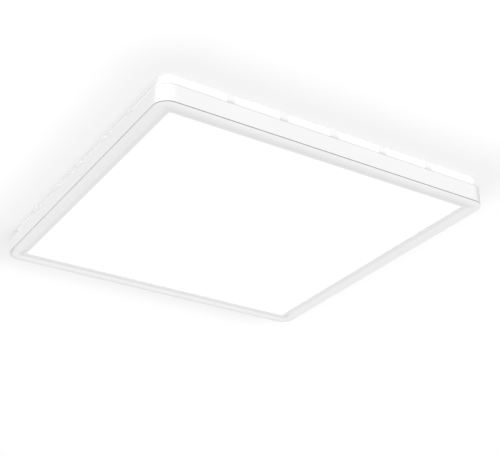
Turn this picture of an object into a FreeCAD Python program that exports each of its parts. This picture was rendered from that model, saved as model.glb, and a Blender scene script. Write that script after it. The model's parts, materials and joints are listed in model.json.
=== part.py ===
import FreeCAD, Part
import os
from math import acos, cos, degrees, pi, radians, sin, tan

Vector = FreeCAD.Vector

# A square, flat ceiling light that hangs under the ceiling, in millimetres.
# The origin is the middle of the ceiling contact face and +Z points up, so the
# light lies below Z = 0. An inset is a distance inwards from the outer sides.

# Overall size
SIDE = 300.0
HEIGHT = 25.5
CORNER_R = 12.0
INNER_CORNER_R = 1.5

# Clearances and small details
FIT = 0.05
SLIDE_GAP = 0.15
SCREW_PLAY = 0.5
THREAD_PLAY = 0.02
WIRE_PLAY = 0.2

# Bezel: the front ring round the lit face
BEZEL_WIDTH = 14.2
CROWN = 0.6
CROWN_RUN = 4.3
CROWN_STEPS = 8
LIP_WIDTH = 10.2
LIP_RISE = 0.8
LIP_STEPS = 6
STEP_RUN = 0.5
STEP_RISE = 0.3
COVE_RISE = 0.2
SEAT_DEPTH = 1.7
BEZEL_RIB_T = 1.0
BEZEL_RIB_H = 3.0
SHADOW_GAP = 0.8
SHADOW_DEPTH = 1.4

# Side frame: the upright band between the bezel and the back-light ring
WALL_T = 2.0
WALL_HEIGHT = 14.75
WALL_TOP_BREAK = 0.4
WALL_LOW_BREAK = 0.25
LEDGE_WIDTH = 0.8
LEDGE_T = 2.0

# Screws that pull the back cover, the side frame and the bezel together
BOSS_INSET = 5.8
BOSS_R = 2.45
BOSS_CORNER_DISTANCE = 50.0
COVER_SCREW_R = 1.1
COVER_SCREW_L = 9.0
COVER_SCREW_HEAD_R = 2.3
COVER_SCREW_HEAD_H = 1.2
CROSS_REACH = 1.2
CROSS_HALF_WIDTH = 0.3
CROSS_DEPTH = 0.7

# Back-light ring, its lens and the cover that closes it from above
RING_GAP = 0.3
RING_INSET = 2.5
RING_T = 2.0
RING_TUCK = 1.15
RING_RIBS = 5
RING_RIB_WIDTH = 7.0
WINDOW_TOP_BORDER = 1.2
WINDOW_LOW_BORDER = 1.5
RING_LIP_T = 0.9
RING_LIP_WIDTH = 3.5
LENS_T = 1.2
LENS_STOP_T = 1.2
LENS_STOP_H = 2.0
TOP_COVER_T = 0.95
TOP_COVER_INNER_INSET = 26.0
TOP_SCREW_CORNER_DISTANCE = 55.0
TOP_SCREW_R = 1.1
TOP_SCREW_L = 6.0
TOP_SCREW_HEAD_R = 2.1
TOP_SCREW_HEAD_H = 0.6
TOP_BOSS_R = 2.4
TOP_BOSS_SINK = 0.7

# Back cover
COVER_T = 1.5
TRAY_INSET = 19.0
TRAY_WALL_T = 1.4

# Optical stack, from the lit face upwards
DIFFUSER_T = 1.5
FILM_T = 0.3
GUIDE_T = 2.5
REFLECTOR_T = 0.3
FOAM_T = 1.0
HEAT_TRAY_T = 0.8
DIFFUSER_INSET = 8.9
HEAT_TRAY_INSET = 8.6
GUIDE_GAP = 0.3

# LED boards, along the edges of the light guide and behind the back-light lens
BOARD_T = 0.8
EDGE_BOARD_END = 14.0
EDGE_LEDS_PER_SIDE = 18
EDGE_LED_END = 20.0
EDGE_LED = (0.7, 4.0, 1.4)
BACK_BOARD_END = 28.0
BACK_BOARD_H = 5.0
BACK_LEDS_PER_SIDE = 8
BACK_LED_END = 40.0
BACK_LED = (0.7, 3.5, 2.8)
LINK_R = 0.4
LINK_SPACING = 1.6

# Ceiling plate
PLATE_T = 1.0
PLATE_INSET = 38.0
PLATE_CORNER_R = 8.0
SLOT_SPACING_X = 160.0
SLOT_SPACING_Y = 170.0
SLOT_R = 2.5
SLOT_LENGTH = 12.0
SWAGE_X = 60.0
SWAGE_DEPTH = 1.0
SWAGE_TOP_HALF = 4.0
SWAGE_LOW_HALF = 2.0
SWAGE_LENGTH = 150.0
TAB_Y = 60.0
TAB_LENGTH = 30.0
TAB_DEPTH = 9.0
BUSH_HOLE_R = 8.0
BUSH_Y = 62.0
BUSH_BORE_R = 5.0
BUSH_LENGTH = 4.0
BUSH_RIM_R = 10.5
BUSH_RIM_T = 1.6

# Leaf-spring catches on the ceiling plate, and the posts that they hold
SPRING_T = 0.4
SPRING_WIDTH = 12.0
SPRING_FLAT = 7.0
SPRING_BULGE = 3.4
SPRING_RISE = 3.0
SPRING_TAIL = 2.6
SPRING_TAIL_BACK = 2.8
RIVET_R = 1.2
RIVET_HEAD_R = 2.0
RIVET_HEAD_H = 0.7
RIVET_DEPTH = 4.0
RIVET_SPACING = 7.0
CATCH_BITE = 2.0
CATCH_LIP_T = 1.2
POST_CLEAR = 0.8
POST_T = 2.2
POST_WIDTH = 16.0
POST_GUSSET = 5.0
POST_GUSSET_T = 2.0

# Driver: the power supply in its own case
DRIVER_X = -45.0
DRIVER_LENGTH = 130.0
DRIVER_WIDTH = 42.0
DRIVER_WALL = 1.5
DRIVER_HEADROOM = 2.5
DRIVER_CORNER_R = 2.5
LAP_T = 0.7
LAP_H = 1.2
STANDOFF_H = 1.5
STANDOFF_R = 2.0
DRIVER_BOARD_T = 1.2
DRIVER_BOARD_GAP = 0.5
CONNECTOR_H = 5.0
CONNECTOR_L = 7.0
CONNECTOR_MARGIN = 2.0
LEAD_PITCH = 6.0
COMPONENT_GAP = 3.0
TRANSFORMER = (20.0, 18.0, 6.3)
TRANSFORMER_CORE = (24.0, 8.0, 4.6)
CAPACITOR_R = 3.1
CAPACITOR_L = 16.0
CHIP = (6.0, 5.0, 1.7)
CHIP_PITCH = 9.0
CHIP_COUNT = 3

# Ears and screws that fix the driver and the terminal housing
EAR_R = 4.0
EAR_T = 1.5
EAR_H = 4.0
EAR_REACH = 4.5
EAR_SCREW_R = 1.2
EAR_SCREW_L = 4.6
EAR_SCREW_HEAD_R = 2.4
EAR_SCREW_HEAD_H = 1.8
DRIVER_EAR_Y = 40.0
HOUSING_EAR_Y = 20.0

# Terminal housing and its sliding cover
TERMINAL_X = 45.0
HOUSING_HALF_X = 23.0
HOUSING_HALF_Y = 32.0
HOUSING_FLOOR = 1.2
HOUSING_WALL = 1.5
RAIL_WALL = 2.4
RAIL_GROOVE = 1.2
RAIL_TOP_T = 0.8
LID_T = 1.3
LID_GRIP_COUNT = 4
LID_GRIP_PITCH = 2.4
LID_GRIP_W = 1.2
LID_GRIP_H = 0.6
LID_GRIP_L = 20.0
CABLE_NOTCH_HALF = 8.0
RAIL_LEDGE = 1.0
LEAD_NOTCH_HALF = 9.0
LEAD_NOTCH_H = 5.0

# Push-in terminal block with a release button for each pole
POLE_PITCH = 12.0
BLOCK_HALF_X = 12.0
BLOCK_FRONT_Y = -4.0
BLOCK_LENGTH = 18.0
BLOCK_H = 7.0
WIRE_HOLE_R = 1.5
WIRE_HOLE_H = 3.2
WIRE_HOLE_DEPTH = 7.0
LEAD_HOLE_R = 1.1
CAVITY_HALF_X = 2.3
CAVITY_LENGTH = 6.5
CAVITY_ROOF = 1.7
BLOCK_SKIN = 0.8
BUSBAR_T = 0.6
BUSBAR_HALF_X = 1.5
BUSBAR_REACH = 2.5
BUTTON_WIDTH = 4.0
BUTTON_LENGTH = 4.8
BUTTON_FOOT_LENGTH = 6.0
BUTTON_FOOT_H = 1.4
BUTTON_PROUD = 1.6
CLAMP_T = 0.3
CLAMP_WIDTH = 3.0
CLAMP_LEG = 5.4

# Cable clamp over the mains cable
CLAMP_BAR_Y = 18.0
CLAMP_BAR_HALF_X = 16.0
CLAMP_BAR_W = 6.0
CLAMP_BAR_T = 1.6
CLAMP_BAR_RISE = 6.2
CLAMP_POST_X = 12.5
CLAMP_POST_R = 2.6
CLAMP_SCREW_R = 1.2
CLAMP_SCREW_L = 5.5
CLAMP_SCREW_HEAD_R = 1.6
CLAMP_SCREW_HEAD_H = 0.6

# Internal leads
LEAD_R = 0.9
LEAD_BEND_SHARE = 0.45
LEAD_HOLE_PLAY = 0.6
MAINS_LEAD_DIP = 84.0
LEAD_BAY_RISE = 1.7
PANEL_LEAD_DROP = 5.0

# Heights, worked out from the front face upwards
z_front = -HEIGHT
z_gap_low = z_front + CROWN
z_wall_low = z_gap_low + SHADOW_GAP
z_wall_top = z_wall_low + WALL_HEIGHT
z_seat = z_front + SEAT_DEPTH
z_film = z_seat + DIFFUSER_T
z_guide = z_film + FILM_T
z_reflector = z_guide + GUIDE_T
z_foam = z_reflector + REFLECTOR_T
z_heat_tray = z_foam + FOAM_T
z_cover_low = z_heat_tray + HEAT_TRAY_T
z_floor = z_cover_low + COVER_T
z_flange = z_wall_top - RING_TUCK
z_flange_low = z_flange - COVER_T
z_ring_top = -RING_GAP
z_ring_lip = z_ring_top - RING_LIP_T
z_top_cover = z_ring_lip - FIT - TOP_COVER_T
z_plate_low = -PLATE_T

# Places that several pieces share
half_side = SIDE / 2
ring_inner = RING_INSET + RING_T
lens_inset = ring_inner + FIT
lens_stop_inset = lens_inset + LENS_T + FIT
board_inset = HEAT_TRAY_INSET + HEAT_TRAY_T
guide_inset = board_inset + BOARD_T + EDGE_LED[0] + GUIDE_GAP
tray_inner = TRAY_INSET + TRAY_WALL_T
plate_half = half_side - PLATE_INSET
driver_top = z_plate_low - DRIVER_HEADROOM
block_back_y = BLOCK_FRONT_Y - BLOCK_LENGTH
z_block = z_floor + HOUSING_FLOOR
z_block_top = z_block + BLOCK_H
cavity_front_y = BLOCK_FRONT_Y - WIRE_HOLE_DEPTH
cavity_mid_y = cavity_front_y - CAVITY_LENGTH / 2
z_cavity_top = z_block_top - CAVITY_ROOF
z_busbar = z_block + BLOCK_SKIN
z_busbar_top = z_busbar + BUSBAR_T
z_wire = z_block + WIRE_HOLE_H
z_clamp_bar = z_block + CLAMP_BAR_RISE
z_clamp_screw = z_clamp_bar + CLAMP_BAR_T + CLAMP_SCREW_HEAD_H
z_lid = max(z_block_top + BUTTON_PROUD, z_clamp_screw) + SCREW_PLAY
z_rail = z_lid - SLIDE_GAP
z_rail_top = z_lid + LID_T + SLIDE_GAP
housing_low_x = TERMINAL_X - HOUSING_HALF_X
housing_high_x = TERMINAL_X + HOUSING_HALF_X
z_driver_board = z_floor + DRIVER_WALL + STANDOFF_H
z_parts = z_driver_board + DRIVER_BOARD_T
z_lead = z_parts + CONNECTOR_H / 2
z_split = z_lead + LEAD_R + WIRE_PLAY + LAP_H + SCREW_PLAY
z_panel_lead = z_floor + LEAD_BAY_RISE
z_back_light = (z_flange + z_top_cover) / 2
z_edge_light = z_guide + GUIDE_T / 2
poles = {"live": -POLE_PITCH / 2, "neutral": POLE_PITCH / 2}


# Basic shapes

def box(x0, x1, y0, y1, z0, z1):
    """Box between two corners."""
    return Part.makeBox(x1 - x0, y1 - y0, z1 - z0, Vector(x0, y0, z0))


def cylinder(x, y, z0, z1, radius):
    """Upright cylinder."""
    return Part.makeCylinder(radius, z1 - z0, Vector(x, y, z0))


def cone(x, y, z0, z1, low_radius, top_radius):
    """Upright cone."""
    return Part.makeCone(low_radius, top_radius, z1 - z0, Vector(x, y, z0))


def round_wire(centre_x, centre_y, half_x, half_y, radius, z):
    """Closed outline of a level rectangle with round corners."""
    arcs = []
    for quarter, (sign_x, sign_y) in enumerate(((1, 1), (-1, 1), (-1, -1), (1, -1))):
        x = centre_x + sign_x * (half_x - radius)
        y = centre_y + sign_y * (half_y - radius)
        start = 90 * quarter
        arcs.append(Part.makeCircle(radius, Vector(x, y, z), Vector(0, 0, 1), start, start + 90))
    edges = []
    for arc, following in zip(arcs, arcs[1:] + arcs[:1]):
        line = Part.makeLine(arc.lastVertex().Point, following.firstVertex().Point)
        edges += [arc, line]
    return Part.Wire(edges)


def outline(inset, z):
    """Outline of the light at an inset, with corners that stay concentric while they can."""
    half = half_side - inset
    return round_wire(0, 0, half, half, max(CORNER_R - inset, INNER_CORNER_R), z)


def round_box(centre_x, centre_y, half_x, half_y, radius, z0, z1):
    """Upright block with round corners."""
    wire = round_wire(centre_x, centre_y, half_x, half_y, radius, z0)
    return Part.Face(wire).extrude(Vector(0, 0, z1 - z0))


def slab(inset, z0, z1):
    """Solid slab of the light's own outline."""
    return Part.Face(outline(inset, z0)).extrude(Vector(0, 0, z1 - z0))


def band(outer_inset, inner_inset, z0, z1):
    """Upright band that follows the light's outline."""
    return slab(outer_inset, z0, z1).cut(slab(inner_inset, z0, z1))


def stack(levels):
    """Solid through outlines given as (inset, height), with straight faces between them."""
    return Part.makeLoft([outline(inset, z) for inset, z in levels], True, True)


def join(shapes):
    """One solid from touching shapes."""
    return shapes[0].fuse(shapes[1:]).removeSplitter()


def turned(shape, quarter):
    """Shape turned about the middle of the light by quarter turns."""
    return shape.rotated(Vector(0, 0, 0), Vector(0, 0, 1), 90 * quarter)


def four_sides(shape):
    """The same shape on each of the four sides."""
    return [turned(shape, quarter) for quarter in range(4)]


def save(name, shape):
    """Writes one node, made of one solid or of a group of separate solids."""
    solids = shape if isinstance(shape, list) else [shape]
    node = solids[0] if len(solids) == 1 else Part.makeCompound(solids)
    node.exportStep(os.path.join("parts", name + ".step"))
    count = len(node.Solids)
    print(f"{name}: {count} solid(s), {node.Volume:.1f} mm3, valid {node.isValid()}")


def bent_strip(points, thickness, place, along):
    """Bent sheet strip: a centre line of (u, v) points, given a place in space and a width."""
    pieces = []
    for (u0, v0), (u1, v1) in zip(points, points[1:]):
        run = ((u1 - u0) ** 2 + (v1 - v0) ** 2) ** 0.5
        off_u = (v0 - v1) / run * thickness / 2
        off_v = (u1 - u0) / run * thickness / 2
        corners = ((u0 - off_u, v0 - off_v), (u1 - off_u, v1 - off_v),
                   (u1 + off_u, v1 + off_v), (u0 + off_u, v0 + off_v))
        ring = [place(u, v) for u, v in corners]
        pieces.append(Part.Face(Part.makePolygon(ring + ring[:1])).extrude(along))
    for u, v in points[1:-1]:
        pieces.append(Part.makeCylinder(thickness / 2, along.Length, place(u, v), along))
    return join(pieces)


def lead(name, points, radius=LEAD_R, share=LEAD_BEND_SHARE):
    """Round lead along straight runs that are joined by tangent arcs."""
    spots = [Vector(*point) for point in points]
    edges = []
    radii = []
    start = spots[0]
    for before, corner, after in zip(spots, spots[1:], spots[2:]):
        way_in = (corner - before).normalize()
        way_out = (after - corner).normalize()
        turn = acos(way_in.dot(way_out))
        reach = share * min((corner - before).Length, (after - corner).Length)
        arc_start = corner - way_in * reach
        arc_end = corner + way_out * reach
        bend = reach / tan(turn / 2)
        radii.append(bend)
        inward = (way_out - way_in).normalize()
        middle = corner + inward * (bend / cos(turn / 2) - bend)
        edges.append(Part.makeLine(start, arc_start))
        edges.append(Part.Arc(arc_start, middle, arc_end).toShape())
        start = arc_end
    edges.append(Part.makeLine(start, spots[-1]))
    path = Part.Wire(edges)
    heading = spots[1] - spots[0]
    profile = Part.Wire([Part.makeCircle(radius, spots[0], heading)])
    solid = path.makePipeShell([profile], True, False)
    share_of_full = solid.Volume / (pi * radius ** 2 * path.Length)
    rounded = [round(bend, 1) for bend in radii]
    print(f"{name}: length {path.Length:.1f} mm, radii {rounded}, volume ratio {share_of_full:.4f}")
    return solid


# Places that repeat

def along_side(corner_distance, inset):
    """Places on the four sides: near both corners and in the middle."""
    reach = half_side - corner_distance
    places = []
    for quarter in range(4):
        angle = radians(90 * quarter)
        for step in (-reach, 0, reach):
            x = half_side - inset
            places.append((x * cos(angle) - step * sin(angle), x * sin(angle) + step * cos(angle)))
    return places


def spread(count, reach):
    """Evenly spaced places from -reach to reach."""
    return [-reach + 2 * reach * index / (count - 1) for index in range(count)]


cover_screw_places = along_side(BOSS_CORNER_DISTANCE, BOSS_INSET)
top_screw_inset = tray_inner + TOP_BOSS_R - TOP_BOSS_SINK
top_screw_places = along_side(TOP_SCREW_CORNER_DISTANCE, top_screw_inset)
slot_places = [(sx * SLOT_SPACING_X / 2, sy * SLOT_SPACING_Y / 2) for sx in (-1, 1) for sy in (-1, 1)]
catch_places = [(side, sign * TAB_Y) for side in (1, -1) for sign in (1, -1)]
driver_ears = [(DRIVER_X + sign * (DRIVER_WIDTH / 2 + EAR_REACH), sign * DRIVER_EAR_Y) for sign in (-1, 1)]
housing_ears = [(TERMINAL_X + sign * (HOUSING_HALF_X + EAR_REACH), -sign * HOUSING_EAR_Y)
                for sign in (-1, 1)]
panel_lead_x = [DRIVER_X + LEAD_PITCH * step for step in (-1.5, -0.5)]
back_lead_x = [DRIVER_X + LEAD_PITCH * step for step in (0.5, 1.5)]


# Front and sides

def make_bezel():
    """Crowned front ring with the seat of the diffuser, a locating rib and screw bosses."""
    crown = []
    for step in range(CROWN_STEPS + 1):
        angle = pi / 2 * (1 - step / CROWN_STEPS)
        crown.append((CROWN_RUN * (1 - cos(angle)), z_gap_low - CROWN * sin(angle)))
    rib_inset = WALL_T + FIT
    bosses = [cylinder(x, y, z_seat, z_flange_low, BOSS_R) for x, y in cover_screw_places]
    body = join([stack(crown),
                 slab(SHADOW_DEPTH, z_gap_low, z_wall_low),
                 slab(rib_inset, z_wall_low, z_seat),
                 band(rib_inset, rib_inset + BEZEL_RIB_T, z_seat, z_seat + BEZEL_RIB_H)] + bosses)
    lip = []
    for step in range(LIP_STEPS + 1):
        share = step / LIP_STEPS
        lip.append((CROWN_RUN + (LIP_WIDTH - CROWN_RUN) * share, z_front + LIP_RISE * share * share))
    z_cove = z_front + LIP_RISE + STEP_RISE
    cove = (LIP_WIDTH + STEP_RUN, z_cove)
    rim = (BEZEL_WIDTH, z_cove + COVE_RISE)
    opening = stack(lip + [cove, rim, (BEZEL_WIDTH, z_seat)])
    hole_r = COVER_SCREW_R + THREAD_PLAY
    z_hole = z_flange - COVER_SCREW_L - SCREW_PLAY
    holes = [cylinder(x, y, z_hole, z_flange_low, hole_r) for x, y in cover_screw_places]
    return body.cut([opening] + holes)


def make_side_frame():
    """Upright band with broken edges and a ledge that carries the back cover."""
    outer = stack([(WALL_LOW_BREAK, z_wall_low),
                   (0, z_wall_low + WALL_LOW_BREAK),
                   (0, z_wall_top - WALL_TOP_BREAK),
                   (WALL_TOP_BREAK, z_wall_top)])
    wall = outer.cut(slab(WALL_T, z_wall_low, z_wall_top))
    ledge = band(WALL_T, WALL_T + LEDGE_WIDTH, z_flange_low - LEDGE_T, z_flange_low)
    return join([wall, ledge])


def make_cover_screws():
    """Countersunk screws through the flange of the back cover into the bezel."""
    screws = []
    for x, y in cover_screw_places:
        head = cone(x, y, z_flange - COVER_SCREW_HEAD_H, z_flange, COVER_SCREW_R, COVER_SCREW_HEAD_R)
        shank = cylinder(x, y, z_flange - COVER_SCREW_L, z_flange, COVER_SCREW_R)
        cross = [box(x - half_x, x + half_x, y - half_y, y + half_y, z_flange - CROSS_DEPTH, z_flange)
                 for half_x, half_y in ((CROSS_REACH, CROSS_HALF_WIDTH), (CROSS_HALF_WIDTH, CROSS_REACH))]
        screws.append(join([head, shank]).cut(cross))
    return screws


# Back-light ring

def window_cutters():
    """Spaces between the ribs of the ring, on the +X side and round the corner after it."""
    pitch = (SIDE - 2 * CORNER_R) / (RING_RIBS + 1)
    low = z_flange + WINDOW_LOW_BORDER
    high = z_ring_top - WINDOW_TOP_BORDER
    inner = half_side - ring_inner
    half_rib = RING_RIB_WIDTH / 2
    ribs = [pitch * (index - (RING_RIBS - 1) / 2) for index in range(RING_RIBS)]
    cutters = []
    for rib, following in zip(ribs, ribs[1:]):
        cutters.append(box(inner, half_side, rib + half_rib, following - half_rib, low, high))
    last = ribs[-1] + half_rib
    cutters.append(box(last, half_side, last, half_side, low, high))
    return cutters


def make_backlight_ring():
    """Thin band with windows, and a lip that holds the lens and the top cover down."""
    wall = band(RING_INSET, ring_inner, z_flange, z_ring_top)
    lip = band(ring_inner, ring_inner + RING_LIP_WIDTH, z_ring_lip, z_ring_top)
    windows = [cutter for shape in window_cutters() for cutter in four_sides(shape)]
    return join([wall, lip]).cut(windows)


def make_top_cover():
    """Flat ring that closes the back-light channel from above."""
    ring = band(lens_stop_inset, TOP_COVER_INNER_INSET, z_top_cover, z_top_cover + TOP_COVER_T)
    radius = TOP_SCREW_R + SCREW_PLAY
    holes = [cylinder(x, y, z_top_cover, z_ring_top, radius) for x, y in top_screw_places]
    return ring.cut(holes)


def make_top_cover_screws():
    """Flat-headed screws in the top cover."""
    z_head = z_top_cover + TOP_COVER_T
    screws = []
    for x, y in top_screw_places:
        head = cylinder(x, y, z_head, z_head + TOP_SCREW_HEAD_H, TOP_SCREW_HEAD_R)
        shank = cylinder(x, y, z_head - TOP_SCREW_L, z_head, TOP_SCREW_R)
        screws.append(join([head, shank]))
    return screws


# Back cover

def post_x(side):
    """Inner face of a catch post and the tip of its lip, on the +X or the -X side."""
    spring_face = plate_half + SPRING_T
    apex = spring_face + SPRING_BULGE
    return side * (apex + POST_CLEAR), side * (apex - CATCH_BITE)


def catch_lip_low():
    """Height at which the lip just clears the upper slope of the spring."""
    slope = SPRING_RISE / SPRING_BULGE
    tip_from_bend = SPRING_BULGE - CATCH_BITE
    return -SPRING_FLAT - slope * tip_from_bend + SPRING_T + FIT


def make_catch_post(side, y):
    """Upright post with an inward lip, and a gusset behind it."""
    inner, tip = post_x(side)
    outer = inner + side * POST_T
    back = outer + side * POST_GUSSET
    half = POST_WIDTH / 2
    low = catch_lip_low()
    top = low + CATCH_LIP_T
    post = box(min(inner, outer), max(inner, outer), y - half, y + half, z_floor, top)
    lip = box(min(tip, inner), max(tip, inner), y - half, y + half, low, top)
    half_gusset = POST_GUSSET_T / 2
    corners = [Vector(outer, y - half_gusset, z_floor), Vector(back, y - half_gusset, z_floor),
               Vector(outer, y - half_gusset, low)]
    gusset = Part.Face(Part.makePolygon(corners + corners[:1])).extrude(Vector(0, POST_GUSSET_T, 0))
    return [post, lip, gusset]


def ear_boss(x, y):
    """Boss under an ear."""
    return cylinder(x, y, z_floor, z_floor + EAR_H, EAR_R)


def ear_boss_hole(x, y):
    """Screw hole in a boss."""
    return cylinder(x, y, z_floor + EAR_H + EAR_T - EAR_SCREW_L - SCREW_PLAY, z_floor + EAR_H,
                    EAR_SCREW_R + THREAD_PLAY)


def make_back_cover():
    """Tray with an outer flange, catch posts, screw bosses and lead holes."""
    flange = band(RING_INSET - FIT, TRAY_INSET, z_flange_low, z_flange)
    wall = band(TRAY_INSET, tray_inner, z_cover_low, z_top_cover)
    floor = slab(tray_inner, z_cover_low, z_floor)
    stop = band(lens_stop_inset, lens_stop_inset + LENS_STOP_T, z_flange, z_flange + LENS_STOP_H)
    posts = [piece for side, y in catch_places for piece in make_catch_post(side, y)]
    bosses = [ear_boss(x, y) for x, y in driver_ears + housing_ears]
    top_bosses = [cylinder(x, y, z_floor, z_top_cover, TOP_BOSS_R) for x, y in top_screw_places]
    body = join([flange, wall, floor, stop] + posts + bosses + top_bosses)
    cuts = [ear_boss_hole(x, y) for x, y in driver_ears + housing_ears]
    for x, y in cover_screw_places:
        cuts.append(cylinder(x, y, z_flange_low, z_flange, COVER_SCREW_R + SCREW_PLAY))
        cuts.append(cone(x, y, z_flange - COVER_SCREW_HEAD_H - FIT, z_flange,
                         COVER_SCREW_R + FIT, COVER_SCREW_HEAD_R + FIT))
    for x, y in top_screw_places:
        z_end = z_top_cover + TOP_COVER_T - TOP_SCREW_L - SCREW_PLAY
        cuts.append(cylinder(x, y, z_end, z_top_cover, TOP_SCREW_R + THREAD_PLAY))
    for places, z in ((panel_lead_x, z_panel_lead), (back_lead_x, z_back_light)):
        cuts += lead_holes(places, half_side - tray_inner, half_side - TRAY_INSET, z,
                           LEAD_R + LEAD_HOLE_PLAY)
    return body.cut(cuts)


# Optical stack

def make_heat_tray():
    """Aluminium tray with turned-down sides that carry the LED boards."""
    floor = slab(HEAT_TRAY_INSET, z_heat_tray, z_cover_low)
    sides = band(HEAT_TRAY_INSET, board_inset, z_film, z_heat_tray)
    low_x = panel_lead_x[0] - 2 * LEAD_R
    high_x = panel_lead_x[1] + 2 * LEAD_R
    notch = box(low_x, high_x, half_side - board_inset, half_side - HEAT_TRAY_INSET, z_film, z_heat_tray)
    return join([floor, sides]).cut(notch)


def make_edge_strip():
    """LED board that stands along the +X edge of the light guide."""
    high_x = half_side - board_inset
    half_y = half_side - EDGE_BOARD_END
    return box(high_x - BOARD_T, high_x, -half_y, half_y, z_film + FIT, z_foam - FIT)


def make_edge_leds():
    """LED packages on the +X edge board."""
    depth, width, height = EDGE_LED
    high_x = half_side - board_inset - BOARD_T
    low, high = z_edge_light - height / 2, z_edge_light + height / 2
    return [box(high_x - depth, high_x, y - width / 2, y + width / 2, low, high)
            for y in spread(EDGE_LEDS_PER_SIDE, half_side - EDGE_LED_END)]


def make_backlight_strip():
    """LED board on the outer face of the tray wall, on the +X side."""
    low_x = half_side - TRAY_INSET
    half_y = half_side - BACK_BOARD_END
    return box(low_x, low_x + BOARD_T, -half_y, half_y, z_back_light - BACK_BOARD_H / 2,
               z_back_light + BACK_BOARD_H / 2)


def make_backlight_leds():
    """LED packages on the +X back-light board."""
    depth, width, height = BACK_LED
    low_x = half_side - TRAY_INSET + BOARD_T
    low, high = z_back_light - height / 2, z_back_light + height / 2
    return [box(low_x, low_x + depth, y - width / 2, y + width / 2, low, high)
            for y in spread(BACK_LEDS_PER_SIDE, half_side - BACK_LED_END)]


def corner_link(line_x, end_y, bend, z):
    """Wire from the end of one board round a corner to the start of the next one."""
    turn_at = line_x - bend
    middle = turn_at + bend * cos(pi / 4)
    edges = [Part.Arc(Vector(line_x, turn_at, z), Vector(middle, middle, z),
                      Vector(turn_at, line_x, z)).toShape()]
    if turn_at > end_y + FIT:
        edges.insert(0, Part.makeLine(Vector(line_x, end_y, z), Vector(line_x, turn_at, z)))
        edges.append(Part.makeLine(Vector(turn_at, line_x, z), Vector(end_y, line_x, z)))
    path = Part.Wire(edges)
    start = path.OrderedVertexes[0].Point
    profile = Part.Wire([Part.makeCircle(LINK_R, start, Vector(0, 1, 0))])
    return path.makePipeShell([profile], True, False)


def make_links(line_x, end_y, bend, z_mid):
    """Wire pairs at three corners, because the fourth corner is where the string ends."""
    links = []
    for quarter in range(3):
        for sign in (-1, 1):
            link = corner_link(line_x, end_y, bend, z_mid + sign * LINK_SPACING / 2)
            links.append(turned(link, quarter))
    return links


# Ceiling plate

def swage(x, lift):
    """Long pressed bead, wide at the top and narrow at the bottom."""
    wires = []
    for half, z in ((SWAGE_TOP_HALF, z_plate_low + lift), (SWAGE_LOW_HALF, z_plate_low - SWAGE_DEPTH + lift)):
        wires.append(round_wire(x, 0, half, SWAGE_LENGTH / 2 + half, half - FIT, z))
    return Part.makeLoft(wires, True, True)


def slot(x, y):
    """Slotted hole that runs along X."""
    return round_box(x, y, SLOT_LENGTH / 2, SLOT_R, SLOT_R - THREAD_PLAY, z_plate_low, 0)


def rivet_rows(side, y):
    """Rivet places of one spring, as the start of each rivet on the inner face of its tab."""
    return [Vector(side * (plate_half - PLATE_T), y + sign * RIVET_SPACING / 2, -RIVET_DEPTH)
            for sign in (-1, 1)]


def rivet_holes(side, y):
    """Holes through a tab and its spring."""
    length = PLATE_T + SPRING_T + FIT
    return [Part.makeCylinder(RIVET_R + THREAD_PLAY, length, start, Vector(side, 0, 0))
            for start in rivet_rows(side, y)]


def make_ceiling_plate():
    """Pressed steel plate with slots, beads, a cable hole and four turned-down tabs."""
    sheet = round_box(0, 0, plate_half, plate_half, PLATE_CORNER_R, z_plate_low, 0)
    beads = [swage(sign * SWAGE_X, 0) for sign in (-1, 1)]
    tabs = []
    for side, y in catch_places:
        outer = side * plate_half
        inner = side * (plate_half - PLATE_T)
        tabs.append(box(min(outer, inner), max(outer, inner), y - TAB_LENGTH / 2, y + TAB_LENGTH / 2,
                        -TAB_DEPTH, 0))
    body = join([sheet] + beads + tabs)
    cuts = [swage(sign * SWAGE_X, PLATE_T) for sign in (-1, 1)]
    cuts += [slot(x, y) for x, y in slot_places]
    cuts.append(cylinder(TERMINAL_X, BUSH_Y, z_plate_low, 0, BUSH_HOLE_R))
    cuts += [hole for side, y in catch_places for hole in rivet_holes(side, y)]
    return body.cut(cuts)


def make_cable_bush():
    """Rubber bush in the cable hole, with a rim under the plate."""
    sleeve = cylinder(TERMINAL_X, BUSH_Y, -BUSH_LENGTH, 0, BUSH_HOLE_R - FIT)
    rim = cylinder(TERMINAL_X, BUSH_Y, z_plate_low - BUSH_RIM_T, z_plate_low, BUSH_RIM_R)
    return join([sleeve, rim]).cut(cylinder(TERMINAL_X, BUSH_Y, -BUSH_LENGTH, 0, BUSH_BORE_R))


def make_catch_spring(side, y):
    """Leaf spring: flat against its tab, then bulged outwards to catch a post."""
    line = plate_half + SPRING_T / 2
    points = [(line, z_plate_low - FIT), (line, -SPRING_FLAT),
              (line + SPRING_BULGE, -SPRING_FLAT - SPRING_RISE),
              (line + SPRING_BULGE - SPRING_TAIL_BACK, -SPRING_FLAT - SPRING_RISE - SPRING_TAIL)]

    def place(u, v):
        return Vector(side * u, y - SPRING_WIDTH / 2, v)

    return bent_strip(points, SPRING_T, place, Vector(0, SPRING_WIDTH, 0)).cut(rivet_holes(side, y))


def make_catch_rivets():
    """Rivets with a head on both sides."""
    rivets = []
    grip = PLATE_T + SPRING_T
    for side, y in catch_places:
        way = Vector(side, 0, 0)
        for start in rivet_rows(side, y):
            shank = Part.makeCylinder(RIVET_R, grip, start, way)
            inner_head = Part.makeCylinder(RIVET_HEAD_R, RIVET_HEAD_H, start - way * RIVET_HEAD_H, way)
            outer_head = Part.makeCone(RIVET_HEAD_R, RIVET_R, RIVET_HEAD_H, start + way * grip, way)
            rivets.append(join([shank, inner_head, outer_head]))
    return rivets


# Driver

def driver_shell(z0, z1, inset):
    """Block of the driver's outline, drawn in by an inset."""
    return round_box(DRIVER_X, 0, DRIVER_WIDTH / 2 - inset, DRIVER_LENGTH / 2 - inset,
                     max(DRIVER_CORNER_R - inset / 2, INNER_CORNER_R), z0, z1)


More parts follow.
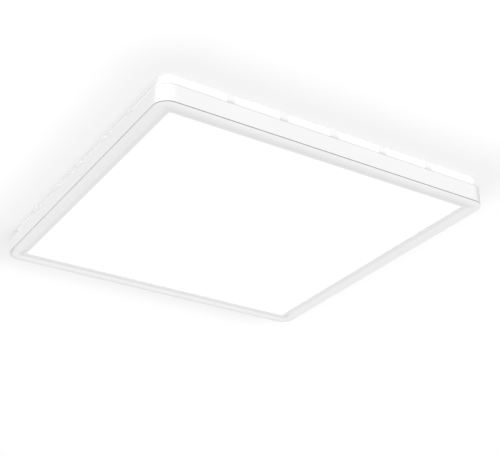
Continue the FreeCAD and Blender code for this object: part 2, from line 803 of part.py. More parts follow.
def ear(x, y, towards):
    """Ear with a screw hole, joined to the wall that it reaches back to."""
    z0 = z_floor + EAR_H
    tongue = box(min(x, towards), max(x, towards), y - EAR_R, y + EAR_R, z0, z0 + EAR_T)
    return [cylinder(x, y, z0, z0 + EAR_T, EAR_R), tongue]


def ear_hole(x, y):
    """Clearance hole through an ear."""
    return cylinder(x, y, z_floor + EAR_H, z_floor + EAR_H + EAR_T, EAR_SCREW_R + SCREW_PLAY / 2)


def lead_holes(places, y0, y1, z, radius):
    """Round holes along Y for leads at the given X places."""
    return [Part.makeCylinder(radius, y1 - y0, Vector(x, y0, z), Vector(0, 1, 0)) for x in places]


def driver_case_holes():
    """Lead holes through both ends of the driver's case."""
    half = DRIVER_LENGTH / 2
    mains = [DRIVER_X + place for place in poles.values()]
    outputs = panel_lead_x + back_lead_x
    radius = LEAD_R + WIRE_PLAY
    return (lead_holes(mains, -half, -half + DRIVER_WALL, z_lead, radius)
            + lead_holes(outputs, half - DRIVER_WALL, half, z_lead, radius))


def make_driver_base():
    """Open case with ears, board standoffs and lead holes."""
    shell = driver_shell(z_floor, z_split, 0).cut(driver_shell(z_floor + DRIVER_WALL, z_split, DRIVER_WALL))
    standoffs = [cylinder(DRIVER_X + sx * (DRIVER_WIDTH / 2 - DRIVER_WALL - STANDOFF_R - DRIVER_BOARD_GAP),
                          sy * (DRIVER_LENGTH / 2 - DRIVER_WALL - STANDOFF_R - DRIVER_BOARD_GAP),
                          z_floor + DRIVER_WALL, z_driver_board, STANDOFF_R)
                 for sx in (-1, 1) for sy in (-1, 1)]
    ears = []
    for x, y in driver_ears:
        sign = 1 if x > DRIVER_X else -1
        ears += ear(x, y, DRIVER_X + sign * (DRIVER_WIDTH / 2 - DRIVER_WALL / 2))
    cuts = driver_case_holes() + [ear_hole(x, y) for x, y in driver_ears]
    return join([shell] + standoffs + ears).cut(cuts)


def make_driver_lid():
    """Lid with a lap that drops inside the base."""
    inside = driver_shell(z_split, driver_top - DRIVER_WALL, DRIVER_WALL)
    shell = driver_shell(z_split, driver_top, 0).cut(inside)
    lap_inset = DRIVER_WALL + FIT
    lap = driver_shell(z_split - LAP_H, z_split + LAP_H, lap_inset)
    lap = lap.cut(driver_shell(z_split - LAP_H, z_split + LAP_H, lap_inset + LAP_T))
    upper = driver_shell(z_split, z_split + LAP_H, DRIVER_WALL)
    upper = upper.cut(driver_shell(z_split, z_split + LAP_H, lap_inset + LAP_T))
    return join([shell, upper, lap])


def make_driver_board():
    """Circuit board on the four standoffs."""
    return driver_shell(z_driver_board, z_parts, DRIVER_WALL + DRIVER_BOARD_GAP)


def connector(places, sign):
    """Connector block at one end of the board, with a hole for each lead."""
    outer = sign * (DRIVER_LENGTH / 2 - DRIVER_WALL - CONNECTOR_MARGIN)
    inner = outer - sign * CONNECTOR_L
    low_x = min(places) - LEAD_PITCH / 2
    high_x = max(places) + LEAD_PITCH / 2
    block = box(low_x, high_x, min(outer, inner), max(outer, inner), z_parts, z_parts + CONNECTOR_H)
    mouth = outer if sign < 0 else outer - CONNECTOR_L / 2
    return block.cut(lead_holes(places, mouth, mouth + CONNECTOR_L / 2, z_lead, LEAD_R + WIRE_PLAY / 2))


def component_rows():
    """Middle of each component row along the board, from the mains end to the output end."""
    start = -DRIVER_LENGTH / 2 + DRIVER_WALL + CONNECTOR_MARGIN + CONNECTOR_L
    capacitor_y = start + COMPONENT_GAP + CAPACITOR_L / 2
    chip_y = capacitor_y + CAPACITOR_L / 2 + COMPONENT_GAP + CHIP[1] / 2
    transformer_y = chip_y + CHIP[1] / 2 + COMPONENT_GAP + TRANSFORMER[1] / 2
    output_y = transformer_y + TRANSFORMER[1] / 2 + COMPONENT_GAP + CAPACITOR_L / 2
    return capacitor_y, chip_y, transformer_y, output_y


def make_transformer():
    """Bobbin with a flat core through it."""
    y = component_rows()[2]
    width, length, height = TRANSFORMER
    bobbin = box(DRIVER_X - width / 2, DRIVER_X + width / 2, y - length / 2, y + length / 2,
                 z_parts, z_parts + height)
    core_width, core_length, core_height = TRANSFORMER_CORE
    core = box(DRIVER_X - core_width / 2, DRIVER_X + core_width / 2, y - core_length / 2,
               y + core_length / 2, z_parts, z_parts + core_height)
    return join([bobbin, core])


def make_capacitors():
    """Round capacitors that lie on the board."""
    capacitor_y, _, _, output_y = component_rows()
    places = [(DRIVER_X + sign * (CAPACITOR_R + COMPONENT_GAP / 2), y)
              for sign in (-1, 1) for y in (capacitor_y, output_y)]
    return [Part.makeCylinder(CAPACITOR_R, CAPACITOR_L, Vector(x, y - CAPACITOR_L / 2, z_parts + CAPACITOR_R),
                              Vector(0, 1, 0)) for x, y in places]


def make_chips():
    """Row of chips across the board."""
    y = component_rows()[1]
    width, length, height = CHIP
    return [box(x - width / 2, x + width / 2, y - length / 2, y + length / 2, z_parts, z_parts + height)
            for x in (DRIVER_X + place for place in spread(CHIP_COUNT, CHIP_PITCH * (CHIP_COUNT - 1) / 2))]


def make_ear_screws():
    """Screws in the ears of the driver and of the terminal housing."""
    z_ear = z_floor + EAR_H + EAR_T
    screws = []
    for x, y in driver_ears + housing_ears:
        head = cylinder(x, y, z_ear, z_ear + EAR_SCREW_HEAD_H, EAR_SCREW_HEAD_R)
        shank = cylinder(x, y, z_ear - EAR_SCREW_L, z_ear, EAR_SCREW_R)
        screws.append(join([head, shank]))
    return screws


# Terminal housing

def make_terminal_housing():
    """Box with rails for a sliding cover, cable and lead notches, and clamp posts."""
    low_y, high_y = -HOUSING_HALF_Y, HOUSING_HALF_Y
    inner_low_x = housing_low_x + HOUSING_WALL
    body = box(housing_low_x, housing_high_x, low_y, high_y, z_floor, z_rail_top + RAIL_TOP_T)
    inner_y = HOUSING_HALF_Y - RAIL_WALL
    room = box(inner_low_x, housing_high_x - HOUSING_WALL, -inner_y, inner_y, z_block, z_rail_top + RAIL_TOP_T)
    groove_y = inner_y + RAIL_GROOVE
    groove = box(inner_low_x, housing_high_x, -groove_y, groove_y, z_rail, z_rail_top)
    mouth = box(housing_high_x - HOUSING_WALL, housing_high_x, -inner_y, inner_y, z_rail,
                z_rail_top + RAIL_TOP_T)
    cable_notch = box(TERMINAL_X - CABLE_NOTCH_HALF, TERMINAL_X + CABLE_NOTCH_HALF, inner_y, high_y,
                      z_block, z_rail - RAIL_LEDGE)
    lead_notch = box(TERMINAL_X - LEAD_NOTCH_HALF, TERMINAL_X + LEAD_NOTCH_HALF, low_y, -inner_y,
                     z_block, z_block + LEAD_NOTCH_H)
    posts = [cylinder(TERMINAL_X + sign * CLAMP_POST_X, CLAMP_BAR_Y, z_block, z_clamp_bar, CLAMP_POST_R)
             for sign in (-1, 1)]
    ears = []
    for x, y in housing_ears:
        sign = 1 if x > TERMINAL_X else -1
        ears += ear(x, y, TERMINAL_X + sign * (HOUSING_HALF_X - HOUSING_WALL / 2))
    shell = body.cut([room, groove, mouth, cable_notch, lead_notch])
    holes = [ear_hole(x, y) for x, y in housing_ears]
    z_hole = z_clamp_bar + CLAMP_BAR_T - CLAMP_SCREW_L - SCREW_PLAY
    holes += [cylinder(TERMINAL_X + sign * CLAMP_POST_X, CLAMP_BAR_Y, z_hole, z_clamp_bar,
                       CLAMP_SCREW_R + THREAD_PLAY) for sign in (-1, 1)]
    return join([shell] + posts + ears).cut(holes)


def make_terminal_cover():
    """Sliding cover with grip ribs."""
    groove_y = HOUSING_HALF_Y - RAIL_WALL + RAIL_GROOVE - SLIDE_GAP
    low_x = housing_low_x + HOUSING_WALL + SLIDE_GAP
    plate = box(low_x, housing_high_x, -groove_y, groove_y, z_lid, z_lid + LID_T)
    ribs = []
    for index in range(LID_GRIP_COUNT):
        x = housing_high_x - LID_GRIP_PITCH * (index + 1)
        ribs.append(box(x - LID_GRIP_W / 2, x + LID_GRIP_W / 2, -LID_GRIP_L / 2, LID_GRIP_L / 2,
                        z_lid + LID_T, z_lid + LID_T + LID_GRIP_H))
    return join([plate] + ribs)


def make_terminal_block():
    """Block with a wire hole, a clamp cavity, a button slot and a lead hole for each pole."""
    body = box(TERMINAL_X - BLOCK_HALF_X, TERMINAL_X + BLOCK_HALF_X, block_back_y, BLOCK_FRONT_Y,
               z_block, z_block_top)
    cuts = []
    for place in poles.values():
        x = TERMINAL_X + place
        cuts += lead_holes([x], cavity_front_y, BLOCK_FRONT_Y, z_wire, WIRE_HOLE_R)
        cuts += lead_holes([x], block_back_y, cavity_front_y - CAVITY_LENGTH, z_wire, LEAD_HOLE_R)
        cuts.append(box(x - CAVITY_HALF_X, x + CAVITY_HALF_X, cavity_front_y - CAVITY_LENGTH, cavity_front_y,
                        z_busbar, z_cavity_top))
        half_x = BUTTON_WIDTH / 2 + SLIDE_GAP
        half_y = BUTTON_LENGTH / 2 + SLIDE_GAP
        cuts.append(box(x - half_x, x + half_x, cavity_mid_y - half_y, cavity_mid_y + half_y,
                        z_cavity_top, z_block_top))
        reach = CAVITY_LENGTH / 2 + BUSBAR_REACH + FIT
        cuts.append(box(x - BUSBAR_HALF_X - FIT, x + BUSBAR_HALF_X + FIT, cavity_mid_y - reach,
                        cavity_mid_y + reach, z_busbar, z_busbar_top + FIT))
    return body.cut(cuts)


def make_busbars():
    """Brass bar under each pole."""
    reach = CAVITY_LENGTH / 2 + BUSBAR_REACH
    return [box(TERMINAL_X + place - BUSBAR_HALF_X, TERMINAL_X + place + BUSBAR_HALF_X,
                cavity_mid_y - reach, cavity_mid_y + reach, z_busbar, z_busbar_top)
            for place in poles.values()]


def make_button(place):
    """Release button with a foot that keeps it in the block."""
    x = TERMINAL_X + place
    z_foot_top = z_cavity_top - FIT
    stem = box(x - BUTTON_WIDTH / 2, x + BUTTON_WIDTH / 2, cavity_mid_y - BUTTON_LENGTH / 2,
               cavity_mid_y + BUTTON_LENGTH / 2, z_foot_top - BUTTON_FOOT_H, z_block_top + BUTTON_PROUD)
    foot = box(x - BUTTON_WIDTH / 2, x + BUTTON_WIDTH / 2, cavity_mid_y - BUTTON_FOOT_LENGTH / 2,
               cavity_mid_y + BUTTON_FOOT_LENGTH / 2, z_foot_top - BUTTON_FOOT_H, z_foot_top)
    return join([stem, foot])


def make_wire_clamp(place):
    """Folded leaf between the bar and the foot of the button."""
    x = TERMINAL_X + place - CLAMP_WIDTH / 2
    low = z_busbar_top + CLAMP_T / 2
    high = z_cavity_top - FIT - BUTTON_FOOT_H - CLAMP_T
    back = cavity_mid_y - CLAMP_LEG / 2
    points = [(back, low), (back + CLAMP_LEG, low), (back + CLAMP_T, high)]

    def place_leaf(u, v):
        return Vector(x, u, v)

    return bent_strip(points, CLAMP_T, place_leaf, Vector(CLAMP_WIDTH, 0, 0))


def make_cable_clamp():
    """Bar across the two posts, above the mains cable."""
    z0 = z_clamp_bar
    bar = box(TERMINAL_X - CLAMP_BAR_HALF_X, TERMINAL_X + CLAMP_BAR_HALF_X, CLAMP_BAR_Y - CLAMP_BAR_W / 2,
              CLAMP_BAR_Y + CLAMP_BAR_W / 2, z0, z0 + CLAMP_BAR_T)
    holes = [cylinder(TERMINAL_X + sign * CLAMP_POST_X, CLAMP_BAR_Y, z0, z0 + CLAMP_BAR_T,
                      CLAMP_SCREW_R + SCREW_PLAY / 2) for sign in (-1, 1)]
    return bar.cut(holes)


def make_cable_clamp_screws():
    """Screws of the cable clamp."""
    z_head = z_clamp_bar + CLAMP_BAR_T
    screws = []
    for sign in (-1, 1):
        x = TERMINAL_X + sign * CLAMP_POST_X
        head = cylinder(x, CLAMP_BAR_Y, z_head, z_head + CLAMP_SCREW_HEAD_H, CLAMP_SCREW_HEAD_R)
        shank = cylinder(x, CLAMP_BAR_Y, z_head - CLAMP_SCREW_L, z_head, CLAMP_SCREW_R)
        screws.append(join([head, shank]))
    return screws


# Internal leads

def mains_lead(name, place):
    """Lead from the back of the terminal block round to the mains end of the driver."""
    start_x = TERMINAL_X + place
    end_x = DRIVER_X - place
    end_y = -DRIVER_LENGTH / 2 + DRIVER_WALL + CONNECTOR_MARGIN + CONNECTOR_L / 2
    low_y = -MAINS_LEAD_DIP - place
    return lead(name, [(start_x, block_back_y + 2 * LEAD_R, z_wire),
                       (start_x, block_back_y - 26.0, z_wire),
                       (start_x - 14.0, low_y + 6.0, z_wire + 0.5),
                       (start_x - 40.0, low_y, z_wire + 1.0),
                       (end_x + 14.0, low_y + 1.0, z_lead - 0.5),
                       (end_x, -DRIVER_LENGTH / 2 - 10.0, z_lead),
                       (end_x, end_y, z_lead)])


def backlight_lead(name, x):
    """Lead from the driver through the tray wall to a back-light board."""
    start_y = DRIVER_LENGTH / 2 - DRIVER_WALL - CONNECTOR_MARGIN - CONNECTOR_L / 2
    wall_y = half_side - TRAY_INSET
    return lead(name, [(x, start_y, z_lead),
                       (x, DRIVER_LENGTH / 2 + 8.0, z_lead),
                       (x + 4.0, wall_y - 38.0, z_lead + 1.5),
                       (x, wall_y - 14.0, z_back_light),
                       (x, wall_y, z_back_light)])


def panel_lead(name, x):
    """Lead from the driver through the tray wall and round to the back of an edge board."""
    start_y = DRIVER_LENGTH / 2 - DRIVER_WALL - CONNECTOR_MARGIN - CONNECTOR_L / 2
    wall_y = half_side - TRAY_INSET
    board_y = half_side - board_inset
    turn_y = board_y + PANEL_LEAD_DROP
    return lead(name, [(x, start_y, z_lead),
                       (x, DRIVER_LENGTH / 2 + 8.0, z_lead),
                       (x - 4.0, wall_y - 36.0, z_lead - 1.0),
                       (x, wall_y - 12.0, z_panel_lead),
                       (x, turn_y, z_panel_lead),
                       (x, turn_y, z_edge_light),
                       (x, board_y, z_edge_light)])


# Every node

def build():
    """Makes each node and writes it."""
    os.makedirs("parts", exist_ok=True)
    save("ceiling_plate", make_ceiling_plate())
    save("cable_bush", make_cable_bush())
    for index, (side, y) in enumerate(catch_places, 1):
        save(f"catch_spring_{index}", make_catch_spring(side, y))
    save("catch_rivets", make_catch_rivets())
    save("bezel", make_bezel())
    save("side_frame", make_side_frame())
    save("back_cover", make_back_cover())
    save("cover_screws", make_cover_screws())
    save("backlight_ring", make_backlight_ring())
    save("backlight_lens", band(lens_inset, lens_inset + LENS_T, z_flange, z_ring_lip - FIT))
    save("top_cover", make_top_cover())
    save("top_cover_screws", make_top_cover_screws())
    save("diffuser", slab(DIFFUSER_INSET, z_seat, z_film))
    save("prism_film", slab(guide_inset, z_film, z_guide))
    save("light_guide", slab(guide_inset, z_guide, z_reflector))
    save("reflector_sheet", slab(guide_inset, z_reflector, z_foam))
    save("backing_foam", slab(guide_inset, z_foam, z_heat_tray))
    save("heat_tray", make_heat_tray())
    for index, strip in enumerate(four_sides(make_edge_strip()), 1):
        save(f"edge_strip_{index}", strip)
    save("edge_leds", [led for shape in make_edge_leds() for led in four_sides(shape)])
    for index, strip in enumerate(four_sides(make_backlight_strip()), 1):
        save(f"backlight_strip_{index}", strip)
    save("backlight_leds", [led for shape in make_backlight_leds() for led in four_sides(shape)])
    save("edge_links", make_links(half_side - board_inset - BOARD_T / 2, half_side - EDGE_BOARD_END,
                                  EDGE_BOARD_END - board_inset - BOARD_T / 2, z_edge_light))
    link_bend = INNER_CORNER_R + LINK_R + FIT
    save("backlight_links", make_links(half_side - TRAY_INSET + LINK_R + FIT, half_side - BACK_BOARD_END,
                                       link_bend, z_back_light))
    save("driver_base", make_driver_base())
    save("driver_lid", make_driver_lid())
    save("driver_board", make_driver_board())
    save("driver_transformer", make_transformer())
    save("driver_capacitors", make_capacitors())
    save("driver_chips", make_chips())
    mains_places = [DRIVER_X + place for place in poles.values()]
    save("driver_connectors", [connector(mains_places, -1), connector(panel_lead_x + back_lead_x, 1)])
    save("ear_screws", make_ear_screws())
    save("terminal_housing", make_terminal_housing())
    save("terminal_cover", make_terminal_cover())
    save("terminal_block", make_terminal_block())
    save("terminal_busbars", make_busbars())
    for name, place in poles.items():
        save(f"{name}_button", make_button(place))
        save(f"{name}_clamp", make_wire_clamp(place))
        save(f"{name}_lead", mains_lead(f"{name}_lead", place))
    save("cable_clamp", make_cable_clamp())
    save("cable_clamp_screws", make_cable_clamp_screws())
    for sign, x in zip(("plus", "minus"), panel_lead_x):
        save(f"panel_lead_{sign}", panel_lead(f"panel_lead_{sign}", x))
    for sign, x in zip(("plus", "minus"), back_lead_x):
        save(f"backlight_lead_{sign}", backlight_lead(f"backlight_lead_{sign}", x))


build()
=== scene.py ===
import json
from math import cos, pi, radians, sin

import bpy
from mathutils import Matrix, Vector


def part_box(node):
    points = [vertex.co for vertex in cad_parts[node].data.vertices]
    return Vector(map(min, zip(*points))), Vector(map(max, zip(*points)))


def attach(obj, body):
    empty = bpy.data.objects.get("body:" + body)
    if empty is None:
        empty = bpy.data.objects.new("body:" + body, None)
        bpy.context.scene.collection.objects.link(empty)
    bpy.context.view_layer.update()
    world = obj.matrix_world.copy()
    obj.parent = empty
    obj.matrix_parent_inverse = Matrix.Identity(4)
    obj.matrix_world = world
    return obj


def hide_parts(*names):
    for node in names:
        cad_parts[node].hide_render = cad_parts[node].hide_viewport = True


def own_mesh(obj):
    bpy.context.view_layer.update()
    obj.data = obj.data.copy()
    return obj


bl_info = {
    "name": "Square ceiling light",
    "version": (1, 0, 0),
    "blender": (4, 5, 0),
    "location": "View3D > Sidebar > Ceiling light",
    "description": "Finishes, small turned pieces and a stage for a square flush ceiling light",
    "category": "Object",
}

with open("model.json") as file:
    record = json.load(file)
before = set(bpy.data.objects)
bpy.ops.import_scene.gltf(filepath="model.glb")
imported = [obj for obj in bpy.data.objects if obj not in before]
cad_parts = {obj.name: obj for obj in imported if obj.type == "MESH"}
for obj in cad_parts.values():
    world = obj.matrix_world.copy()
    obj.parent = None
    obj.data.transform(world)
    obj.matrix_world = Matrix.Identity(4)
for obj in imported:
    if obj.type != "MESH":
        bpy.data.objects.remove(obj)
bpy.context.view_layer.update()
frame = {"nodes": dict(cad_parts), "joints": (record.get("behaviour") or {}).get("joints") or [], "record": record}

MM = 0.001

# The camera that took the picture: place in metres, its three directions, and its lens.
CAMERA_PLACE = (-0.44224, -0.74720, -0.46468)
CAMERA_RIGHT = (0.8525875, -0.5225808, 0.0019710)
CAMERA_UP = (-0.2394206, -0.3872553, 0.8903433)
CAMERA_BACK = (-0.4645130, -0.7595674, -0.4552856)
CAMERA_LENS_MM = 81.763
CAMERA_SENSOR_MM = 36.0
CAMERA_NEAR = 0.01

# Directions that the lights shine from, and the angle that each one fills, in degrees.
KEY_DIRECTION = (-0.15, -0.67, -0.73)
KEY_ANGLE = 36
SIDE_DIRECTION = (-0.83, -0.40, 0.39)
SIDE_ANGLE = 30
BACK_DIRECTION = (0.76, 0.54, 0.36)
BACK_ANGLE = 40
ABOVE_DIRECTION = (0.06, -0.12, 0.99)
ABOVE_ANGLE = 40

# The light's own outline, in metres.
HALF_SIDE = 0.150
CORNER_R = 0.012

# Marks of painted shade and painted light on the housing: where each starts and ends, and how
# soft its ends are, in metres. OUT is out from the outline, negative inside it, HEIGHT along Z
# and DEPTH along Y. A mark that reaches an edge ends past it.
# Painted shade in the joint between the bezel and the side frame.
JOINT_OUT = (-0.003, 0.001, 0.0001)
JOINT_HEIGHT = (-0.0249, -0.0231, 0.00002)
FRAME_JOINT_HEIGHT = (-0.0249, -0.02398, 0.00012)
# Painted shadow line along the side frame's upper edge.
FRAME_EDGE_HEIGHT = (-0.0101, -0.00875, 0.00005)
# Painted light on the sides of the ring's windows.
WINDOW_OUT = (-1.0, -0.0026, 0.00005)
# Painted shade in the recess beside the lit face.
COVE_OUT = (-0.0142, -0.0100, 0.0003)

# Painted shade on the +Y side of the bezel alone: two soft grey lines, at its outer edge and inner lip.
FAR_SIDE_DEPTH = (0.130, 1.0, 0.004)
FAR_EDGE_OUT = (-0.0020, 0.001, 0.0008)
FAR_LIP_OUT = (-0.0112, -0.0088, 0.0009)

# A painted shadow greys the ceiling round the light. It starts and ends this far out, in metres.
# It lies a little behind the light, and is drawn narrower and deeper than the outline.
HALO_NEAR = 0.008
HALO_FAR = 0.060
HALO_SHIFT = (0.0, -0.015, 0.0)
HALO_SCALE = (1.06, 0.93, 1.0)

# The ceiling's gap to the light, and the size, depth and strength of its paint's grain.
CEILING_GAP_MM = 0.1
PAINT_GRAIN_MM = 2.5
PAINT_DEPTH_MM = 0.05
PAINT_STRENGTH = 0.1

# The pattern of every surface: detail of its slow patches and of its fine grain, where the change
# between its two tones starts and ends, and how strongly the grain turns the light.
PATCH_DETAIL = 3.0
GRAIN_DETAIL = 2.0
TONE_START = 0.3
TONE_END = 0.7
GRAIN_STRENGTH = 0.5

# Screws, in millimetres: radius and height of the head, and radius of the shank.
TOP_COVER_SCREW = (2.1, 0.6, 1.1)
EAR_SCREW = (2.4, 1.8, 1.2)
CLAMP_SCREW = (1.6, 0.6, 1.2)

# Shape of every screw. Points of its shank's tip, across and up, as shares of the shank's radius,
# and of its head, across by the head's radius and up by the dome's height. Then the depth of its
# recess, as a share of the head's height.
SCREW_TIP = ((0.6, 0), (1, 0.5))
SCREW_DOME = ((1, 0), (0.93, 0.5), (0.75, 0.83), (0.45, 1))
RECESS_DEPTH = 0.6

# Places of the screws along each side of the top cover, and of the four ears, in millimetres.
TOP_COVER_STEPS = (-95, 0, 95)
EARS = ((-70.5, -40), (-19.5, 40), (17.5, 20), (72.5, -20))

# The round of the bush's top edge and the taper of its lower end, as shares of its rounding.
BUSH_TOP_ROUND = 0.9
BUSH_TAPER = 0.4

# Sides of a turned screw and of the turned bush.
SCREW_SIDES = 40
BUSH_SIDES = 72

# Steps of a round edge, and angles in degrees and steps of the clamp leaf's fold.
ROUND_STEPS = 4
FOLD_START = -90
FOLD_END = 75
FOLD_STEPS = 8

# Points this close to the end of the leaf are its end, in metres.
TOUCH = 0.00001

# Faces that meet at less than this angle, in degrees, are shaded as one round surface.
SMOOTH_ANGLE = 35


def linear(hex_colour):
    """Linear colour, as shaders take it, from an sRGB hex value."""
    channels = [int(hex_colour[start:start + 2], 16) / 255 for start in (1, 3, 5)]
    return [c / 12.92 if c <= 0.04045 else ((c + 0.055) / 1.055) ** 2.4 for c in channels] + [1.0]


def colour_prop(name, description, hex_colour):
    """Colour property with an sRGB default."""
    return bpy.props.FloatVectorProperty(name=name, description=description, subtype="COLOR",
                                         size=4, min=0, max=1, default=linear(hex_colour))


def length_prop(name, description, millimetres):
    """Length property in metres."""
    return bpy.props.FloatProperty(name=name, description=description, unit="LENGTH", min=0,
                                   default=millimetres * MM)


def level_prop(name, description, level):
    """Light level or tone, where 1 is white."""
    return bpy.props.FloatProperty(name=name, description=description, min=0, default=level)


class CeilingLightColours(bpy.types.PropertyGroup):
    """Colours of the main surfaces."""
    housing: colour_prop("Housing", "Bezel, side frame and back-light ring", "#F1F1F1")
    cover: colour_prop("Back cover", "Plastic of the tray and of the top cover", "#E9E9E7")
    opal: colour_prop("Opal sheet", "Diffuser", "#D9D9D9")
    lens: colour_prop("Frosted strip", "Lens of the back light", "#6C6C6C")
    glow: colour_prop("Glow", "Light that the lit faces give", "#FFFFFF")
    driver: colour_prop("Driver case", "Case of the power supply and of the terminals", "#E4E4E1")
    button: colour_prop("Release buttons", "Buttons of the push-in terminals", "#D9701E")
    steel: colour_prop("Zinc-plated steel", "Ceiling plate and screws", "#C3C6C8")
    brown: colour_prop("Live lead", "Insulation of the live lead", "#5A3421")
    blue: colour_prop("Neutral lead", "Insulation of the neutral lead", "#1F4F9E")
    red: colour_prop("Plus leads", "Insulation of the plus leads", "#B8231C")
    black: colour_prop("Minus leads", "Insulation of the minus leads", "#191919")


class CeilingLightSizes(bpy.types.PropertyGroup):
    """Sizes of the pieces that are modelled here, and of the stage."""
    plate_thickness: length_prop("Plate thickness", "Thickness of the ceiling plate", 1.0)
    bush_rim_reach: length_prop("Bush rim reach", "How far the rim stands out", 2.55)
    bush_rim_height: length_prop("Bush rim height", "Height of the bush's rim", 1.6)
    bush_wall: length_prop("Bush wall", "Thickness of the bush's sleeve", 2.95)
    bush_round: length_prop("Bush rounding", "Radius of the bush's moulded edges", 0.7)
    leaf_thickness: length_prop("Leaf thickness", "Thickness of the folded clamp leaf", 0.3)
    leaf_fold: length_prop("Leaf fold", "Radius of the clamp leaf's fold", 0.35)
    screw_dome: length_prop("Screw dome", "Height of the domed part of a screw head", 0.35)
    recess_reach: length_prop("Recess reach", "Reach of one arm of a cross recess", 1.25)
    recess_width: length_prop("Recess width", "Width of one arm of a cross recess", 0.55)
    ceiling_side: length_prop("Ceiling side", "Side of the plain ceiling of the stage", 9000)


class CeilingLightLevels(bpy.types.PropertyGroup):
    """Levels of the lights, and tones, as shares of the colour that a surface has."""
    ambient: level_prop("Ambient", "Even light from all round", 0.45)
    key: level_prop("Key", "Soft light from the front", 0.68)
    side: level_prop("Side", "Soft light from the left, a little above the ceiling", 0.62)
    back: level_prop("Back", "Weak light on the two far sides", 0.24)
    above: level_prop("Above", "Soft light for views from above", 0.42)
    ceiling_light: level_prop("Ceiling light", "Light that the ceiling gives the object", 0.15)
    ceiling_shadow: level_prop("Ceiling shadow", "Share of the tone that shadows can darken", 0.26)
    ceiling_lift: level_prop("Ceiling lift", "Share of the tone that is even", 0.755)
    # Tone of the painted shadow on the ceiling close to the light.
    halo_shade: level_prop("Halo", "Ceiling tone close to the light", 0.875)
    face_glow: level_prop("Face glow", "Strength of the lit face", 0.33)
    # Joint and edge tones are painted shade: in the joint above the bezel and along the frame's top.
    joint: level_prop("Joint shade", "Tone in the joint above the bezel", 0.55)
    edge: level_prop("Edge tone", "Tone of the side frame's upper edge", 0.70)
    # The cove tone is painted shade in the recess beside the lit face.
    cove_shade: level_prop("Cove tone", "Tone of the dull band beside the lit face", 0.93)
    # The far line tone is painted shade on the bezel's +Y side.
    far_shade_tone: level_prop("Far line tone", "Tone of the two lines on the bezel's far side", 0.84)
    ring_seep: level_prop("Ring seep", "Back light that the thin ring lets through", 0.03)
    # This is painted light on the sides of the ring's windows, for the lens's light that falls on them.
    window_painted_light: level_prop("Window glow", "Light that the sides of the windows send on", 0.05)
    ring_glow: level_prop("Ring glow", "Strength of the back light", 0.83)


# Nodes and materials

def add_node(tree, kind, settings, links=()):
    """Adds a node with its attributes and sockets set, and links sockets, by name or number."""
    node = tree.nodes.new(kind)
    for key, value in settings.items():
        if isinstance(key, int) or key in node.inputs:
            node.inputs[key].default_value = value
        else:
            setattr(node, key, value)
    for socket, source in links:
        tree.links.new(source, node.inputs[socket])
    return node


def distance_out(tree, place):
    """Distance out from the light's rounded square outline, which is negative inside it."""
    core = (HALF_SIDE - CORNER_R, HALF_SIDE - CORNER_R, 1)
    folded = add_node(tree, "ShaderNodeVectorMath", {"operation": "ABSOLUTE"}, [(0, place)])
    past = add_node(tree, "ShaderNodeVectorMath", {"operation": "SUBTRACT", 1: core},
                    [(0, folded.outputs["Vector"])]).outputs["Vector"]
    kept = add_node(tree, "ShaderNodeVectorMath", {"operation": "MAXIMUM", 1: (0, 0, 0)},
                    [(0, past)])
    corner = add_node(tree, "ShaderNodeVectorMath", {"operation": "LENGTH"},
                      [(0, kept.outputs["Vector"])])
    axes = add_node(tree, "ShaderNodeSeparateXYZ", {}, [(0, past)]).outputs
    side = add_node(tree, "ShaderNodeMath", {"operation": "MAXIMUM"},
                    [(0, axes["X"]), (1, axes["Y"])])
    inside = add_node(tree, "ShaderNodeMath", {"operation": "MINIMUM", 1: 0},
                      [(0, side.outputs["Value"])])
    both = add_node(tree, "ShaderNodeMath", {"operation": "ADD"},
                    [(0, corner.outputs["Value"]), (1, inside.outputs["Value"])])
    return add_node(tree, "ShaderNodeMath", {"operation": "SUBTRACT", 1: CORNER_R},
                    [(0, both.outputs["Value"])]).outputs["Value"]


def within(tree, value, mark):
    """1 where a value lies between a mark's start and end, and 0 outside it, with soft steps."""
    start, end, soft = mark
    rise = add_node(tree, "ShaderNodeMapRange",
                    {"From Min": start - soft, "From Max": start + soft}, [("Value", value)])
    fall = add_node(tree, "ShaderNodeMapRange",
                    {"From Min": end + soft, "From Max": end - soft}, [("Value", value)])
    return add_node(tree, "ShaderNodeMath", {"operation": "MULTIPLY"},
                    [(0, rise.outputs["Result"]), (1, fall.outputs["Result"])]).outputs["Value"]


def darkened(tree, *marks):
    """Factor for painted shade in the colour: 1, but the mark's tone where a mark is. Marks are (share, tone)."""
    factor = None
    for share, tone in marks:
        toned = add_node(tree, "ShaderNodeMapRange", {"To Min": 1.0, "To Max": tone},
                         [("Value", share)]).outputs["Result"]
        if factor is not None:
            toned = add_node(tree, "ShaderNodeMath", {"operation": "MULTIPLY"},
                             [(0, factor), (1, toned)]).outputs["Value"]
        factor = toned
    return factor


def shade(colour, factor):
    """Colour times a factor, with its alpha kept."""
    return [min(channel * factor, 1.0) for channel in colour[:3]] + [1.0]


